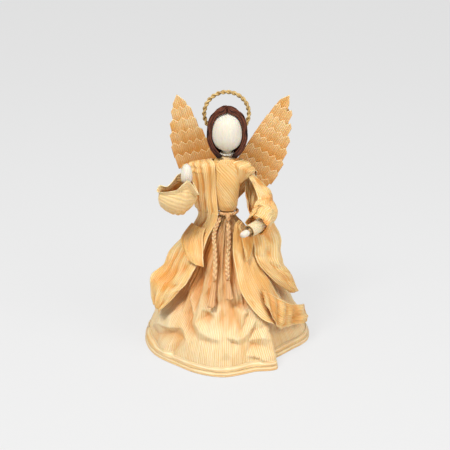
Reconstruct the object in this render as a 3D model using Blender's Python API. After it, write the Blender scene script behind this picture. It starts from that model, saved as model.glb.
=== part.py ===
"""Corn husk angel: a standing folk figure folded, gathered and tied from dried corn husk.

Metres, +Z up. The figure faces -Y, and its own left hand is at +X. The origin is on the floor at the
middle of the skirt's hem. Run it with: blender --background --python part.py
"""
import math

import bmesh
import bpy
from mathutils import Vector

MM = 0.001

# Heights above the floor
WAIST_HEIGHT = 84 * MM
NECK_HEIGHT = 118 * MM
HEAD_HEIGHT = 26.9 * MM

# Skirt and hem
HEM_RADIUS = 50 * MM
WAIST_RADIUS = 4.5 * MM
PLEAT_COUNT = 15
PLEAT_DEPTH = 3.0 * MM
CRUMPLE_DEPTH = 1.3 * MM
HEM_BAND_HEIGHT = 5.6 * MM
HEM_FOOT_WIDTH = 2.0 * MM

# One step of the outline tables below
STEP = 1.0 * MM

# Husk and the air between two layers of it
HUSK = 0.5 * MM
GAP = 0.3 * MM

# Torso core, as half widths and half depths
WAIST_HALF_WIDTH = 3.9 * MM
SHOULDER_HALF_WIDTH = 9.0 * MM
CHEST_HALF_DEPTH = 4.9 * MM
NECK_RADIUS = 3.0 * MM
CORE_TAIL = 8 * MM

# Head, hair and halo
HEAD_RADIUS = 9.0 * MM
HAIR_THICKNESS = 2.1 * MM
THREAD_RADIUS = 0.55 * MM
HALO_RADIUS = 13.1 * MM
HALO_CORD = 1.15 * MM
HALO_RISE = 21.2 * MM
HALO_PRESS = 0.6 * MM

# Waist tie and its two hanging tails
TIE_RADIUS = 0.95 * MM
TAIL_RADIUS = 1.25 * MM
TUFT_HALF_WIDTH = 2.4 * MM

# Arms, cuff and hands
ARM_RADIUS = 1.7 * MM
CUFF_RADIUS = 3.5 * MM
HAND_HALF_WIDTH = 2.4 * MM
HAND_LENGTH = 6.4 * MM
RAISED_HAND_HALF_WIDTH = 3.4 * MM
RAISED_HAND_LENGTH = 12.0 * MM
HAND_FLATNESS = 0.75

# Wings
WING_ROOT_DEPTH = 9.15 * MM
WING_SWEEP = 0.28
WING_FOOT_DROP = 23 * MM
ROW_COUNT = 8
ROW_PITCH = 7.0 * MM
ROW_HEIGHT = 9.6 * MM
ROW_HUSK = 0.4 * MM
TOOTH_PITCH = 5.0 * MM
TOOTH_DEPTH = 2.2 * MM

# The skirt's outline from the floor (0) to the waist (1), as a share of the way from waist radius to
# hem radius: a bell that slopes more steeply as it goes down, with a short neck under the tie.
SKIRT_OUTLINE = [(0.0, 1.0), (0.12, 0.94), (0.26, 0.841), (0.36, 0.753), (0.5, 0.612), (0.7, 0.382),
                 (0.86, 0.17), (0.94, 0.036), (0.97, 0.006), (1.0, 0.0)]
SKIRT_COLUMNS = 60
# The levels of the skirt's rings of points, closer together under the tie.
SKIRT_ROWS = [0.0, 0.1, 0.22, 0.35, 0.5, 0.65, 0.8, 0.91, 0.96, 1.0]
TORSO_COLUMNS = 14
# The levels at which the torso and the wraps over it have rings of points.
TORSO_ROWS = [1.012, 1.3, 1.55, 1.7, 1.79, 1.88, 1.945]
# How deep the gathers are from the floor (0) to the waist (1), as a share of PLEAT_DEPTH.
PLEAT_SHARE = [(0.0, 0.12), (0.12, 0.2), (0.26, 0.42), (0.45, 0.9), (0.7, 1.0), (0.88, 0.45), (1.0, 0.04)]
# The hem's plan: how many steps it stands out of its round at each angle. The front panel ends in a
# folded edge on the figure's left, and the skirt steps back behind it.
HEM_PLAN = [(-180, 0.0), (-150, 0.4), (-127, -0.8), (-108, 1.8), (-92, 3.0), (-78, 0.2), (-70, -0.6),
            (-60, 2.2), (-55.5, 1.8), (-49, -6.9), (-42, -8.2), (-27, -6.4), (-8, -0.2), (20, 0.6),
            (60, 1.0), (90, 3.0), (130, 0.8), (180, 0.0)]
# How much of the hem's plan is felt from the floor (0) up.
PLAN_SHARE = [(0.0, 1.0), (0.18, 0.95), (0.34, 0.35), (0.5, 0.1), (0.7, 0.0), (1.0, 0.0)]

# The head's outline: height over the neck joint as a share of the head's height, share of its radius.
HEAD_OUTLINE = [(0.0, 0.333), (0.05, 0.30), (0.10, 0.36), (0.19, 0.72), (0.34, 0.95), (0.54, 1.0),
                (0.74, 0.89), (0.89, 0.64), (0.97, 0.35), (1.0, 0.06)]
# The inside of the hair from the crown (0) to the neck (1): radius as a share of the head's radius, and
# height over the neck joint as a share of the head's height.
HAIR_BELL = [(0.0, 0.11, 1.019), (0.12, 0.52, 0.983), (0.25, 0.835, 0.872), (0.38, 1.01, 0.703),
             (0.5, 1.045, 0.52), (0.62, 1.03, 0.353), (0.74, 0.90, 0.20), (0.86, 0.70, 0.085),
             (1.0, 0.53, 0.012)]
# Where a side tress starts and ends round the head, in degrees, from the crown down.
TRESS_SPAN = [(0.03, -86, -10), (0.12, -84, -2), (0.17, -57, 0), (0.25, -35, 2), (0.38, -24, 5), (0.5, -20, 7),
              (0.62, -21, 8), (0.74, -33, 4), (0.86, -48, -4), (1.0, -58, -14)]

# Draped panels. Each station down a panel holds its two edges, as angle round the figure in degrees,
# level (0 floor, 1 waist, 2 neck) and how many steps the edge stands out.
STOLE_LEFT = [
    (0.00, -262, 1.04, 1.6, -232, 1.04, 2.0), (0.07, -258, 1.25, 1.6, -214, 1.22, 7.0),
    (0.14, -250, 1.50, 1.6, -200, 1.45, 12.0), (0.21, -232, 1.75, 1.6, -190, 1.68, 12.0),
    (0.27, -204, 1.89, 1.7, -182, 1.84, 10.5), (0.33, -157, 1.915, 2.2, -177, 1.82, 11.0),
    (0.40, -140, 1.79, 2.2, -175, 1.66, 12.5), (0.50, -144, 1.40, 2.2, -175.5, 1.34, 14.5),
    (0.59, -145, 1.05, 3.2, -180, 1.08, 14.5), (0.64, -140, 0.955, 3.4, -190, 0.955, 11.5),
    (0.70, -131, 0.84, 2.6, -194, 0.84, 6.5), (0.77, -128.5, 0.69, 2.6, -190, 0.71, 7.5),
    (0.84, -134, 0.55, 3.0, -172, 0.61, 10.0), (0.91, -140, 0.475, 3.4, -163, 0.545, 16.0),
    (0.96, -143.4, 0.405, 4.6, -160, 0.45, 12.5), (1.00, -147, 0.345, 7.0, -155, 0.37, 8.6),
]
STOLE_FOLD = [
    (0.0, -141, 0.90, 5.6, -176, 0.90, 11.6), (0.3, -133, 0.82, 5.2, -174, 0.81, 11.0),
    (0.6, -124, 0.74, 4.8, -158, 0.765, 10.0), (1.0, -119, 0.675, 4.6, -137, 0.71, 8.6),
]
MANTLE_RIGHT = [
    (0.0, 80, 1.04, 1.6, 50, 1.04, 2.0), (0.2, 78, 1.25, 1.6, 34, 1.22, 7.0),
    (0.4, 70, 1.5, 1.6, 20, 1.42, 12.0), (0.6, 52, 1.75, 2.0, 12, 1.64, 10.5),
    (0.75, 22, 1.89, 2.4, 8, 1.76, 9.2), (0.88, -38, 1.885, 2.8, -2, 1.81, 8.2),
    (1.0, -36, 1.64, 3.1, -10, 1.78, 6.4),
]
PANEL_INNER = [
    (0.0, -70, 1.00, 13.5, -64, 0.985, 14.5), (0.10, -77, 0.95, 12.5, -67, 0.94, 13.5),
    (0.20, -80, 0.885, 9.5, -52, 0.862, 9.5), (0.33, -81.5, 0.784, 5.0, -48, 0.76, 5.5),
    (0.48, -79.2, 0.67, 3.0, -45, 0.65, 3.4), (0.64, -76.9, 0.545, 2.0, -38, 0.53, 2.4),
    (0.76, -70.4, 0.449, 1.4, -33, 0.43, 1.6), (0.88, -61.2, 0.349, 1.6, -28, 0.34, 1.2),
    (0.95, -52.3, 0.30, 3.5, -24, 0.27, 1.2), (1.0, -43.1, 0.225, 2.0, -21, 0.215, 1.2),
]
PANEL_OUTER = [
    (0.0, -44, 0.886, 14.5, -16, 0.93, 22.0), (0.15, -46, 0.84, 12.0, -19, 0.83, 18.0),
    (0.4, -51, 0.76, 7.8, -21, 0.68, 11.0), (0.6, -50.6, 0.685, 6.2, -17, 0.59, 8.5),
    (0.75, -39, 0.568, 5.5, -13, 0.535, 8.5), (0.88, -30, 0.492, 5.0, -12.5, 0.47, 7.0),
    (1.0, -20, 0.42, 5.0, -12, 0.41, 6.5),
]
PANEL_FLAP = [
    (0.0, -69, 0.907, 13.2, -50, 0.907, 15.6), (0.5, -67.5, 0.79, 9.4, -57, 0.79, 10.0),
    (1.0, -66.5, 0.725, 7.6, -65, 0.725, 7.6),
]
FRILL = [
    (0.0, -56, 0.53, 3.3, -57, 0.45, 2.8), (0.25, -47, 0.49, 3.5, -52, 0.33, 3.2),
    (0.5, -36, 0.42, 3.6, -43, 0.23, 4.3), (0.75, -22, 0.34, 3.6, -28, 0.20, 3.4),
    (1.0, -4, 0.27, 4.0, -10, 0.16, 3.4),
]

# The lowered arm's sleeve: a point on each ring (steps across, steps back, level), then how many steps
# the ring reaches outwards, inwards and squarely to both, and the angles between which it is closed.
SLEEVE_RIGHT = [
    (14.2, -0.3, 1.70, 2.4, 2.7, 3.0, -98, 168), (16.6, -1.0, 1.53, 3.9, 5.4, 4.6, -95, 175),
    (18.0, -1.8, 1.323, 7.4, 6.6, 6.0, -93, 180), (19.8, -4.5, 1.147, 8.4, 8.0, 7.0, -98, 188),
    (21.2, -10.2, 1.03, 8.4, 7.8, 7.6, -130, 194), (20.0, -15.6, 0.995, 7.0, 7.0, 7.6, -160, 190),
    (17.0, -20.2, 0.975, 6.4, 6.4, 7.4, -164, 188),
]
CUFF_RIGHT = [(22, -15.3, 0.977), (18, -19.2, 0.959), (12.8, -24.2, 0.944)]
# The raised arm's sleeve: the middle of each ring, then its two half sizes in steps.
SLEEVE_LEFT = [
    (-27.2, -4.5, 1.206, 2.6, 2.6), (-27.8, -9.5, 1.194, 3.8, 3.8), (-28.5, -13.5, 1.24, 6.0, 7.0),
    (-28.8, -16, 1.34, 7.2, 10.0), (-28.6, -16.5, 1.50, 8, 10.8),
]
# Its rim, from its back round by its inner side, front and outer side.
SLEEVE_RIM = [
    (-28.5, -8, 1.78), (-23.1, -10.5, 1.79), (-16.2, -22, 1.50), (-21.6, -23, 1.76), (-25, -24, 1.73),
    (-29.6, -24, 1.58), (-39.6, -19, 1.518), (-38.4, -14, 1.615), (-33.2, -10, 1.55), (-28.5, -8, 1.78),
]
ARM_LEFT = [(-10.0, 0.8, 1.738), (-15.5, 1.8, 1.588), (-21.5, 2, 1.412), (-26.5, -1.5, 1.25),
            (-27.5, -8.5, 1.203), (-26.2, -14.5, 1.294), (-23.8, -16, 1.44), (-23.4, -16, 1.63)]
ARM_RIGHT = [(14.2, -0.5, 1.66), (17.2, -1.2, 1.50), (21.3, -3, 1.31), (23.6, -7.5, 1.12),
             (22.3, -14.2, 0.985), (18, -19.2, 0.959), (12.6, -24.4, 0.943)]

# The hanging tails of the tie, as points on the skirt like the draped panels' edges.
TAIL_RIGHT = [(-86, 0.938, 2.5), (-86, 0.87, 2.9), (-87, 0.80, 2.4), (-89.4, 0.724, 2.3), (-89.5, 0.66, 2.1),
              (-88.9, 0.60, 1.9)]
TAIL_LEFT = [(-122, 0.966, 2.3), (-124, 0.90, 2.9), (-119, 0.84, 2.4), (-111, 0.77, 2.1),
             (-106.5, 0.689, 2.1), (-104.5, 0.59, 1.9)]
TUFT_RIGHT = [(-88.8, 0.596, 1.9), (-88.4, 0.54, 1.9), (-88, 0.487, 1.9)]
TUFT_LEFT = [(-104.4, 0.586, 1.9), (-104.4, 0.51, 1.9), (-104.5, 0.435, 1.9)]

# Wings: tilt of the wing's length, steps out to its foot, and its outline in steps: place along its
# length, inner edge and outer edge.
WINGS = {
    "right": (34, 12, [(0, -12, 7), (5, -13.8, 10.9), (16, -14.4, 13.1), (32, -14.5, 8.6),
                       (39, -14.5, 5.2), (50.5, -13.4, -2.0), (56, -12.9, -6.2), (60, -12.0, -9.5)]),
    "left": (16, 8, [(0, -7, 8), (8, -7.8, 14), (14.3, -7.5, 16.6), (25, -6, 18.5), (32.5, -4.2, 17.6),
                      (38.4, -2, 16.3), (48.4, -0.4, 12.3), (54.6, 1.2, 10.4), (60, 3.5, 7.0)]),
}

COLOURS = {
    "husk_gown": (0.80, 0.60, 0.33),
    "husk_mantle": (0.84, 0.63, 0.34),
    "husk_wing": (0.74, 0.50, 0.25),
    "husk_pale": (0.88, 0.84, 0.72),
    "husk_tie": (0.80, 0.52, 0.30),
    "hair_fibre": (0.11, 0.035, 0.02),
    "halo_cord": (0.60, 0.44, 0.20),
    "thread": (0.85, 0.85, 0.82),
    "husk_core": (0.72, 0.58, 0.36),
}


# Helpers that every piece uses

def between(knots, x):
    """The value at x on a smooth curve through knots, each (x, value, value, ...)."""
    x = min(max(x, knots[0][0]), knots[-1][0])
    last = len(knots) - 1
    i = max(j for j in range(last) if knots[j][0] <= x)
    width = knots[i + 1][0] - knots[i][0]
    t = (x - knots[i][0]) / width
    values = []
    for k in range(1, len(knots[0])):
        slopes = []
        for j in (i, i + 1):
            low, high = knots[max(j - 1, 0)], knots[min(j + 1, last)]
            slopes.append((high[k] - low[k]) / (high[0] - low[0]) * width)
        values.append((2 * t**3 - 3 * t**2 + 1) * knots[i][k] + (t**3 - 2 * t**2 + t) * slopes[0]
                      + (3 * t**2 - 2 * t**3) * knots[i + 1][k] + (t**3 - t**2) * slopes[1])
    return values[0] if len(values) == 1 else values


def along(points, t):
    """The values at t, from 0 to 1, on a smooth curve through evenly counted points."""
    return between([(i / (len(points) - 1), *point) for i, point in enumerate(points)], t)


def height_at(level):
    if level <= 1:
        return WAIST_HEIGHT * level
    return WAIST_HEIGHT + (NECK_HEIGHT - WAIST_HEIGHT) * (level - 1)


def path_through(points):
    """A smooth path through table points: steps across, steps back and level."""
    places = [(x * STEP, y * STEP, height_at(level)) for x, y, level, *_ in points]
    return lambda t: Vector(along(places, t))


def material(name):
    found = bpy.data.materials.get(name)
    if found:
        return found
    made = bpy.data.materials.new(name)
    made.use_nodes = True
    shader = made.node_tree.nodes["Principled BSDF"]
    shader.inputs["Base Color"].default_value = (*COLOURS[name], 1)
    shader.inputs["Roughness"].default_value = 0.6
    shader.inputs["Metallic"].default_value = 0.0
    made.diffuse_color = (*COLOURS[name], 1)
    return made


def add_object(name, bm, finish):
    """Turns a bmesh into the named object, shaded smooth but for its sharp folds."""
    bmesh.ops.recalc_face_normals(bm, faces=bm.faces)
    mesh = bpy.data.meshes.new(name)
    bm.to_mesh(mesh)
    bm.free()
    mesh.shade_smooth()
    mesh.set_sharp_from_angle(angle=math.radians(40))
    mesh.materials.append(material(finish))
    made = bpy.data.objects.new(name, mesh)
    bpy.context.scene.collection.objects.link(made)
    return made


def placed_grid(place, across, down):
    """A grid whose vertex at (u, v), each from 0 to 1, is moved to place(u, v)."""
    bm = bmesh.new()
    bmesh.ops.create_grid(bm, x_segments=across, y_segments=down, size=0.5)
    for vertex in bm.verts:
        vertex.co = place(vertex.co.x + 0.5, vertex.co.y + 0.5)
    return bm


def husk_sheet(name, place, across, down, finish, thickness=HUSK, closed=False, side=0.0):
    """A sheet of husk: a placed grid given its thickness. Closed joins its first and last columns."""
    bm = placed_grid(place, across, down)
    if closed:
        bmesh.ops.remove_doubles(bm, verts=bm.verts, dist=0.00001)
    made = add_object(name, bm, finish)
    shell = made.modifiers.new("thickness", "SOLIDIFY")
    shell.thickness = thickness
    shell.offset = side
    return made


def solid_tube(name, place, round_count, along_count, finish, ring=False):
    """A solid whose skin is place(u round the section, v along it). A ring closes on itself."""
    bm = placed_grid(place, round_count, along_count)
    bmesh.ops.remove_doubles(bm, verts=bm.verts, dist=0.00001)
    if not ring:
        bmesh.ops.holes_fill(bm, edges=[e for e in bm.edges if e.is_boundary], sides=0)
    return add_object(name, bm, finish)


def section_at(path, t, reference):
    """The point at t on a path, and two directions square to the path there."""
    ahead = (path(min(t + 0.004, 1)) - path(max(t - 0.004, 0))).normalized()
    side = ahead.cross(Vector(reference)).normalized()
    return path(t), side, side.cross(ahead)


def tube_skin(path, half_sizes, reference):
    """The skin of a bent tube: half_sizes(v) gives the two half sizes of its section."""
    def place(u, v):
        centre, side, up = section_at(path, v, reference)
        wide, deep = half_sizes(v)
        return centre + side * (wide * math.cos(2 * math.pi * u)) + up * (deep * math.sin(2 * math.pi * u))
    return place


def rope_skin(centre, ring_radius, cord_radius, strands, turns, upright):
    """The skin of a twisted cord bent into a ring: its lobed section turns as it goes round."""
    def place(u, v):
        a, b = 2 * math.pi * v, 2 * math.pi * u
        lobes = cord_radius * (0.84 + 0.16 * math.cos(strands * b - strands * turns * a))
        out, over = ring_radius + lobes * math.cos(b), lobes * math.sin(b)
        flat = (out * math.cos(a), over, out * math.sin(a)) if upright else (
            out * math.cos(a), out * math.sin(a), over)
        return centre + Vector(flat)
    return place


# The gown's body: everything that is draped is placed from these

def skirt_ridge(degrees, level):
    """The radius over the tops of the skirt's gathers, at a level from the floor (0) to the waist (1)."""
    round_radius = WAIST_RADIUS + (HEM_RADIUS - WAIST_RADIUS) * between(SKIRT_OUTLINE, level)
    turned = (degrees + 180) % 360 - 180
    return round_radius + between(HEM_PLAN, turned) * STEP * between(PLAN_SHARE, level)


def gather_wave(degrees):
    """From 0 in a valley to 1 on a ridge of the gathers, which are uneven round the skirt."""
    a = math.radians(degrees)
    drift = 0.55 * math.sin(3 * a + 0.7) + 0.3 * math.sin(5 * a + 2.1)
    return 0.5 + 0.5 * math.cos(PLEAT_COUNT * a + drift)


def crumple(degrees, level):
    """How far the skirt is creased inwards, from 0 to 1: soft dents between the floor and the hips."""
    a = math.radians(degrees)
    dents = math.sin(5 * a + 9 * level + 0.6) * math.sin(8 * a - 7 * level + 2.0)
    return max(0, dents) * math.sin(math.pi * min(1, max(0, (level - 0.04) / 0.7)))


def skirt_radius(degrees, level):
    uneven = 0.78 + 0.22 * math.sin(4 * math.radians(degrees) + 1.2)
    depth = PLEAT_DEPTH * uneven * between(PLEAT_SHARE, level)
    radius = skirt_ridge(degrees, level) - depth * (1 - gather_wave(degrees))
    return radius - CRUMPLE_DEPTH * crumple(degrees, level)


def torso_halves(level):
    """Half width and half depth of the torso core, at a level from the waist (1) to the neck (2)."""
    waist, wide, deep, neck = WAIST_HALF_WIDTH, SHOULDER_HALF_WIDTH, CHEST_HALF_DEPTH, NECK_RADIUS
    outline = [(1.0, waist, waist * 0.95), (1.3, waist * 1.28, deep * 0.93), (1.55, waist * 1.6, deep),
               (1.70, wide * 0.87, deep), (1.79, wide, deep * 0.96), (1.88, wide * 0.77, deep * 0.88),
               (1.94, wide * 0.54, deep * 0.77), (1.985, neck * 1.1, neck)]
    return between(outline, level)


def torso_reach(degrees, level):
    wide, deep = torso_halves(level)
    a = math.radians(degrees)
    return 1 / math.hypot(math.cos(a) / wide, math.sin(a) / deep)


def around(degrees, level, lift):
    """A point that stands lift out from the skirt (level 0 to 1) or square off the torso (1 to 2)."""
    if level <= 1:
        reach = skirt_ridge(degrees, level) + lift
    else:
        rise = (torso_reach(degrees, level + 0.01) - torso_reach(degrees, level - 0.01)) / 0.02
        slant = math.hypot(1, rise / (NECK_HEIGHT - WAIST_HEIGHT))
        reach = torso_reach(degrees, level) + lift * slant
    a = math.radians(degrees)
    return Vector((reach * math.cos(a), reach * math.sin(a), height_at(level)))


def draped(stations, folds=0, fold_depth=((0, 0), (1, 0)), ripples=0, ripple_depth=0.0, bulge=0.0):
    """Places a panel between its two edges. Folds run down it and ripples run across it."""
    def place(u, v):
        degrees_a, level_a, lift_a, degrees_b, level_b, lift_b = between(stations, v)
        lift = lift_a + (lift_b - lift_a) * u + bulge * math.sin(math.pi * u)
        lift += between(fold_depth, v) * (0.5 - 0.5 * math.cos(2 * math.pi * folds * u))
        lift += ripple_depth * (0.5 - 0.5 * math.cos(2 * math.pi * ripples * v)) * min(1, 4 * u)
        degrees = degrees_a + (degrees_b - degrees_a) * u
        return around(degrees, level_a + (level_b - level_a) * u, lift * STEP)
    return place


# Gown

def build_skirt():
    """One gathered husk panel, open below, whose narrow top is tied round the torso core."""
    def place(u, v):
        degrees = 360 * u - 180
        height = max(HUSK + GAP, WAIST_HEIGHT * SKIRT_ROWS[round(v * (len(SKIRT_ROWS) - 1))])
        radius = skirt_radius(degrees, height / WAIST_HEIGHT)
        a = math.radians(degrees)
        return Vector((radius * math.cos(a), radius * math.sin(a), height))
    husk_sheet("skirt", place, SKIRT_COLUMNS, len(SKIRT_ROWS) - 1, "husk_gown", closed=True, side=-1.0)


def build_hem_band():
    """A strip bound round the bottom edge: a wall outside the skirt and a foot under it."""
    section = [(-HEM_FOOT_WIDTH, 0), (GAP + HUSK, 0), (GAP + HUSK, HEM_BAND_HEIGHT), (GAP, HEM_BAND_HEIGHT),
               (GAP, HUSK), (-HEM_FOOT_WIDTH, HUSK)]

    def place(u, v):
        degrees = 360 * v - 180
        out, height = section[round(u * len(section)) % len(section)]
        a = math.radians(degrees)
        radius = skirt_ridge(degrees, height / WAIST_HEIGHT) + out
        return Vector((radius * math.cos(a), radius * math.sin(a), height))
    solid_tube("hem_band", place, len(section), SKIRT_COLUMNS, "husk_gown", ring=True)


def build_torso():
    """The rolled core that everything is tied to, from inside the skirt's neck up to the head."""
    inside_skirt = WAIST_RADIUS - HUSK - GAP - 0.1 * PLEAT_DEPTH
    rings = [(WAIST_HEIGHT - CORE_TAIL, inside_skirt, inside_skirt), (WAIST_HEIGHT, inside_skirt, inside_skirt)]
    for level in TORSO_ROWS + [1.985]:
        rings.append((height_at(level), *torso_halves(level)))

    def place(u, v):
        height, wide, deep = rings[round(v * (len(rings) - 1))]
        a = 2 * math.pi * u
        return Vector((wide * math.cos(a), deep * math.sin(a), height))
    solid_tube("torso_core", place, TORSO_COLUMNS, len(rings) - 1, "husk_core")


def build_bodice():
    """A wrap right round the torso, and a second panel crossed over its front."""
    def on_torso(share, level, lift):
        wide, deep = torso_halves(level)
        a = 2 * math.pi * share
        return around(math.degrees(math.atan2(deep * math.sin(a), wide * math.cos(a))), level, lift)

    def wrap(u, v):
        return on_torso(u, TORSO_ROWS[round(v * 6)], GAP + HUSK / 2)
    husk_sheet("bodice_wrap", wrap, TORSO_COLUMNS, 6, "husk_mantle", closed=True)

    def over(u, v):
        return on_torso((8 + 5 * u) / TORSO_COLUMNS, TORSO_ROWS[round(v * 5)], 2 * GAP + 1.5 * HUSK)
    husk_sheet("bodice_front", over, 10, 5, "husk_mantle")


def build_tie():
    """The twisted tie round the waist, its knot, and two hanging tails that end in tufts."""
    ring = WAIST_RADIUS + 2 * GAP + TIE_RADIUS
    height = WAIST_HEIGHT - GAP - TIE_RADIUS
    skin = rope_skin(Vector((0, 0, height)), ring, TIE_RADIUS, 3, 4, upright=False)
    solid_tube("waist_tie", skin, 7, 30, "husk_tie", ring=True)
    sizes = [(0.0, 0.5, 0.4), (0.2, 1.25, 1.05), (0.6, 1.4, 1.15), (1.0, 0.75, 0.65)]
    front = -(ring + TIE_RADIUS + GAP + 1.15 * TIE_RADIUS)
    top, low = height + 1.7 * TIE_RADIUS, height - 3.8 * TIE_RADIUS
    knot = lambda t: Vector((0.6 * STEP, front, top + (low - top) * t))
    skin = tube_skin(knot, lambda v: [x * TIE_RADIUS for x in between(sizes, v)], (0, 1, 0))
    solid_tube("tie_knot", skin, 8, 5, "husk_tie")
    for side, route, tuft in (("left", TAIL_LEFT, TUFT_LEFT), ("right", TAIL_RIGHT, TUFT_RIGHT)):
        build_tail("tie_tail_" + side, [tuple(around(a, level, lift * STEP)) for a, level, lift in route])
        flare = [(0.0, 0.42, 0.38), (0.2, 0.62, 0.46), (1.0, 1.0, 0.42)]
        places = [tuple(around(a, level, lift * STEP)) for a, level, lift in tuft]
        path = lambda t: Vector(along(places, t))
        skin = tube_skin(path, lambda v: [x * TUFT_HALF_WIDTH for x in between(flare, v)], (0, 1, 0))
        solid_tube("tail_tuft_" + side, skin, 8, 4, "husk_tie")


def build_tail(name, route):
    """A plaited tail: a cord that lies down the front of the skirt."""
    curve = bpy.data.curves.new(name, "CURVE")
    curve.dimensions = "3D"
    curve.bevel_depth = TAIL_RADIUS
    curve.bevel_resolution = 2
    curve.use_fill_caps = True
    count = 13
    spline = curve.splines.new("POLY")
    spline.points.add(count - 1)
    for i, point in enumerate(spline.points):
        point.co = (*along(route, i / (count - 1)), 1)
    curve.materials.append(material("husk_tie"))
    made = bpy.data.objects.new(name, curve)
    bpy.context.scene.collection.objects.link(made)


# Head

def build_head():
    """A husk-covered ball whose husk is gathered into a short neck below, and the thread round it."""
    def place(u, v):
        reach = HEAD_RADIUS * between(HEAD_OUTLINE, v)
        a = 2 * math.pi * u
        return Vector((reach * math.cos(a), reach * math.sin(a), NECK_HEIGHT + HEAD_HEIGHT * v))
    solid_tube("head", lambda u, v: place(u, 0.5 - 0.5 * math.cos(math.pi * v)), 14, 10, "husk_pale")
    ring = 0.333 * HEAD_RADIUS + GAP + THREAD_RADIUS
    centre = Vector((0, 0, NECK_HEIGHT + GAP + THREAD_RADIUS))
    solid_tube("neck_thread", rope_skin(centre, ring, THREAD_RADIUS, 1, 0, upright=False), 6, 14, "thread",
               ring=True)


def hair_point(degrees, place, lift):
    """A point lift above the inside of the hair, at a place from the crown (0) to the shoulders (1)."""
    radius, height = between(HAIR_BELL, place)
    higher = between(HAIR_BELL, max(place - 0.01, 0))
    lower = between(HAIR_BELL, min(place + 0.01, 1))
    fall, spread = (higher[1] - lower[1]) * HEAD_HEIGHT, (lower[0] - higher[0]) * HEAD_RADIUS
    normal = Vector((fall, spread)).normalized()
    out = radius * HEAD_RADIUS + normal.x * lift
    a = math.radians(degrees)
    over = height * HEAD_HEIGHT + normal.y * lift
    return Vector((out * math.cos(a), out * math.sin(a), NECK_HEIGHT + over))


def lock_skin(span):
    """The skin of a lock of hair that lies on the head: flat inside and round outside."""
    def place(u, v):
        top, bottom = span[0][0], span[-1][0]
        down = top + (bottom - top) * v
        first, last = between(span, down)
        across = 2 * u if u <= 0.5 else 2 - 2 * u
        lift = HAIR_THICKNESS * math.sin(math.pi * across) ** 0.6 if 0 < u < 0.5 else 0
        return hair_point(first + (last - first) * across, down, lift)
    return place


def build_hair():
    right = TRESS_SPAN
    left = [(down, 180 - a, 180 - b) for down, a, b in TRESS_SPAN]
    back = [(down, b + 2.4, 177.6 - b) for down, a, b in TRESS_SPAN[:-1]]
    solid_tube("hair_right", lock_skin(right), 8, 10, "hair_fibre")
    solid_tube("hair_left", lock_skin(left), 8, 10, "hair_fibre")
    solid_tube("hair_back", lock_skin(back), 14, 8, "hair_fibre")


def build_halo():
    """A ring of two-ply cord that stands on edge against the back of the hair."""
    deep = max(radius for place, radius, height in HAIR_BELL) * HEAD_RADIUS + HAIR_THICKNESS + HALO_CORD
    centre = Vector((-0.3 * STEP, deep - HALO_PRESS, NECK_HEIGHT + HALO_RISE))
    skin = rope_skin(centre, HALO_RADIUS, HALO_CORD, 2, 9, upright=True)
    solid_tube("halo", skin, 6, 54, "halo_cord", ring=True)


# Arms and drapes

def build_arms():
    egg = [(0.0, 0.5), (0.15, 0.86), (0.4, 1.0), (0.75, 0.8), (0.94, 0.4), (1.0, 0.1)]
    for side, route, reference, half, length in (
            ("left", ARM_LEFT, (1, 0, 0), RAISED_HAND_HALF_WIDTH, RAISED_HAND_LENGTH),
            ("right", ARM_RIGHT, (0, 1, 0), HAND_HALF_WIDTH, HAND_LENGTH)):
        path = path_through(route)
        skin = tube_skin(path, lambda v: (ARM_RADIUS, ARM_RADIUS), reference)
        solid_tube("arm_" + side, skin, 6, 9, "husk_core")
        ahead = (path(1) - path(0.9)).normalized()
        hand = lambda t: path(1) + ahead * (GAP + length * t)
        reach = lambda v: (HAND_FLATNESS * half * between(egg, v), half * between(egg, v))
        solid_tube("hand_" + side, tube_skin(hand, reach, reference), 8, 6, "husk_pale")


def sleeve_skin(stations, reference):
    return tube_skin(path_through(stations), lambda v: [x * STEP for x in along(stations, v)[3:]], reference)


def build_sleeves():
    """The lowered arm's sleeve, open at the front above the elbow, its cuff, and the raised arm's bell."""
    path = path_through(SLEEVE_RIGHT)

    def channel(u, v):
        centre, side, up = section_at(path, v, (0, 1, 0))
        outwards, inwards, square, first, last = along(SLEEVE_RIGHT, v)[3:]
        a = math.radians(first + (last - first) * u)
        across = outwards if math.cos(a) > 0 else inwards
        return centre + (side * (across * math.cos(a)) + up * (square * math.sin(a))) * STEP
    husk_sheet("sleeve_right", channel, 12, 10, "husk_mantle")
    cuff = tube_skin(path_through(CUFF_RIGHT), lambda v: (CUFF_RADIUS, CUFF_RADIUS), (0, 1, 0))
    husk_sheet("cuff_right", cuff, 10, 3, "husk_pale", closed=True)
    tube, rim = sleeve_skin(SLEEVE_LEFT, (1, 0, 0)), path_through(SLEEVE_RIM)

    def bell(u, v):
        flare = max(0, (v - 0.45) / 0.55) ** 1.5
        return tube(u, v).lerp(rim(u), flare)
    husk_sheet("sleeve_left", bell, 14, 8, "husk_mantle", closed=True)


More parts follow.
